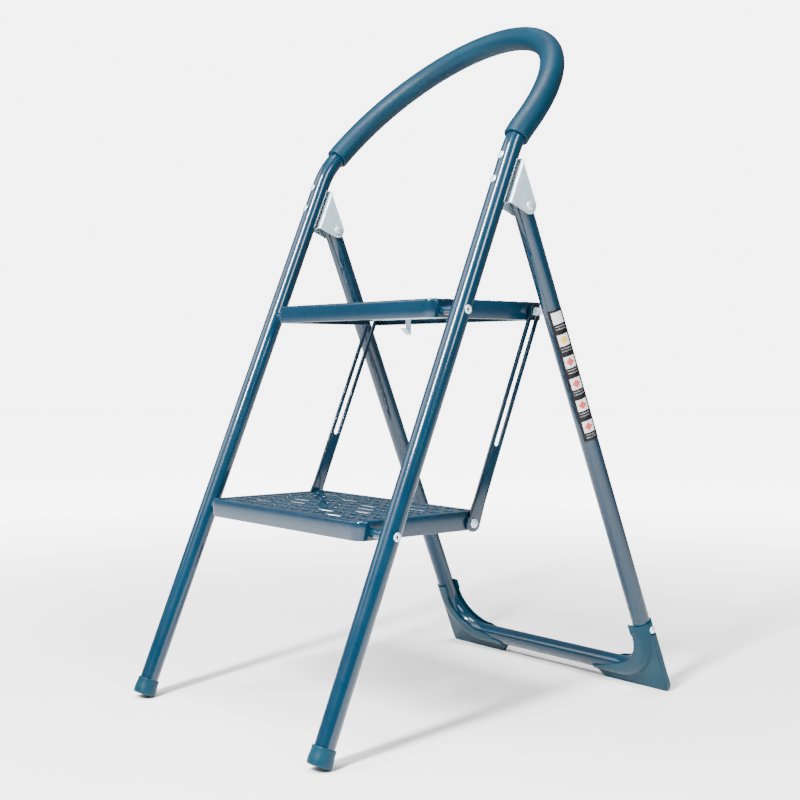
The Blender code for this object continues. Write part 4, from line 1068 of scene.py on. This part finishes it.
# ---- floor, lights and camera -------------------------------------------------------------
# A plain white studio: a pale matt floor that runs out into white, one tall soft box in front
# and to the left, weaker fills, and a dim side behind the camera.
FLOOR_R = 9.0
CAMERA_SIDE = (0.72, -0.64, -0.27)
SURROUND = 6.0            # brightness of the white that is seen directly
FLOOR_FADE = (0.35, 2.4)  # where the floor starts and ends turning into that white


def seen_directly(tree):
    """1 for what the camera sees itself, 0 for what reaches it by reflection or as light."""
    return tree.nodes.new("ShaderNodeLightPath").outputs["Is Camera Ray"]


def studio_floor():
    """A matt disc at z = 0 that runs out into the white of the surround."""
    a = np.linspace(0, 2 * np.pi, 96, endpoint=False)
    r = np.array((0.0, 1.0, 3.0, FLOOR_R))
    grid = np.stack([r[:, None] * np.cos(a), r[:, None] * np.sin(a), np.zeros((4, 96))], -1)
    mesh = welded(skin("studio_floor", grid))
    made = bpy.data.objects.new("studio_floor", mesh)
    bpy.context.scene.collection.objects.link(made)
    paper, tree, body, where = shader("white_paper")
    tree.links.new(blend_colours(tree, grain(tree, where, 3, 3), (0.88, 0.88, 0.88), (0.92, 0.92, 0.92)),
                   body.inputs["Base Color"])
    body.inputs["Roughness"].default_value = 0.9
    body.inputs["Specular IOR Level"].default_value = 0.05
    far = tree.nodes.new("ShaderNodeVectorMath")
    far.operation = 'LENGTH'
    tree.links.new(where, far.inputs[0])
    fade = spread(tree, far.outputs["Value"], 0, SURROUND, FLOOR_FADE, 'SMOOTHSTEP')
    glow = tree.nodes.new("ShaderNodeMath")
    glow.operation = 'MULTIPLY'
    tree.links.new(fade, glow.inputs[0])
    tree.links.new(seen_directly(tree), glow.inputs[1])
    tree.links.new(glow.outputs[0], body.inputs["Emission Strength"])
    body.inputs["Emission Color"].default_value = (0.98, 0.99, 1.0, 1)
    mesh.materials.append(paper)
    if mesh.polygons[0].normal.z < 0:
        mesh.flip_normals()


def soft_box(name, azimuth, elevation, distance, width, height, watts):
    """A rectangular area light that faces the stool's middle."""
    a, e = math.radians(azimuth), math.radians(elevation)
    away = np.array((math.sin(a) * math.cos(e), -math.cos(a) * math.cos(e), math.sin(e)))
    light = bpy.data.lights.new(name, 'AREA')
    light.shape = 'RECTANGLE'
    light.size = width
    light.size_y = height
    light.energy = watts
    made = bpy.data.objects.new(name, light)
    bpy.context.scene.collection.objects.link(made)
    made.location = np.array((0.0, 0.0, 0.42)) + away * distance
    made.rotation_euler = (math.radians(90 - elevation), 0, math.radians(azimuth))


def white_surround():
    """White wherever it is seen directly; as a light it is dim, and dimmer behind the camera."""
    world = bpy.data.worlds.new("white_surround")
    bpy.context.scene.world = world
    world.use_nodes = True
    tree = world.node_tree
    sky = tree.nodes["Background"]
    where = tree.nodes.new("ShaderNodeTexCoord").outputs["Generated"]
    facing = tree.nodes.new("ShaderNodeVectorMath")
    facing.operation = 'DOT_PRODUCT'
    facing.inputs[1].default_value = CAMERA_SIDE
    tree.links.new(where, facing.inputs[0])
    light = spread(tree, facing.outputs["Value"], 0.30, 0.10, (-0.35, 0.65), 'SMOOTHSTEP')
    seen = tree.nodes.new("ShaderNodeMix")
    seen.inputs["B"].default_value = SURROUND
    tree.links.new(seen_directly(tree), seen.inputs["Factor"])
    tree.links.new(light, seen.inputs["A"])
    tree.links.new(seen.outputs["Result"], sky.inputs["Strength"])
    sky.inputs["Color"].default_value = (0.98, 0.99, 1.0, 1)


studio_floor()
white_surround()
soft_box("key", 20, 40, 2.4, 0.22, 1.1, 250)
soft_box("right_fill", 88, 28, 2.6, 0.5, 1.2, 50)
soft_box("left_fill", -40, 34, 2.8, 1.8, 1.8, 50)
soft_box("overhead", 0, 86, 2.4, 0.9, 0.9, 90)

camera_data = bpy.data.cameras.new("camera")
camera_data.sensor_width = 36
camera_data.lens = 59.05
camera_data.shift_y = -0.0625
camera_data.clip_start = 0.05
camera_data.clip_end = 50
camera = bpy.data.objects.new("camera", camera_data)
bpy.context.scene.collection.objects.link(camera)
camera.location = (1.2405, -1.0103, 0.4050)
camera.rotation_euler = (math.radians(90.439), 0, math.radians(51.075))
bpy.context.scene.camera = camera
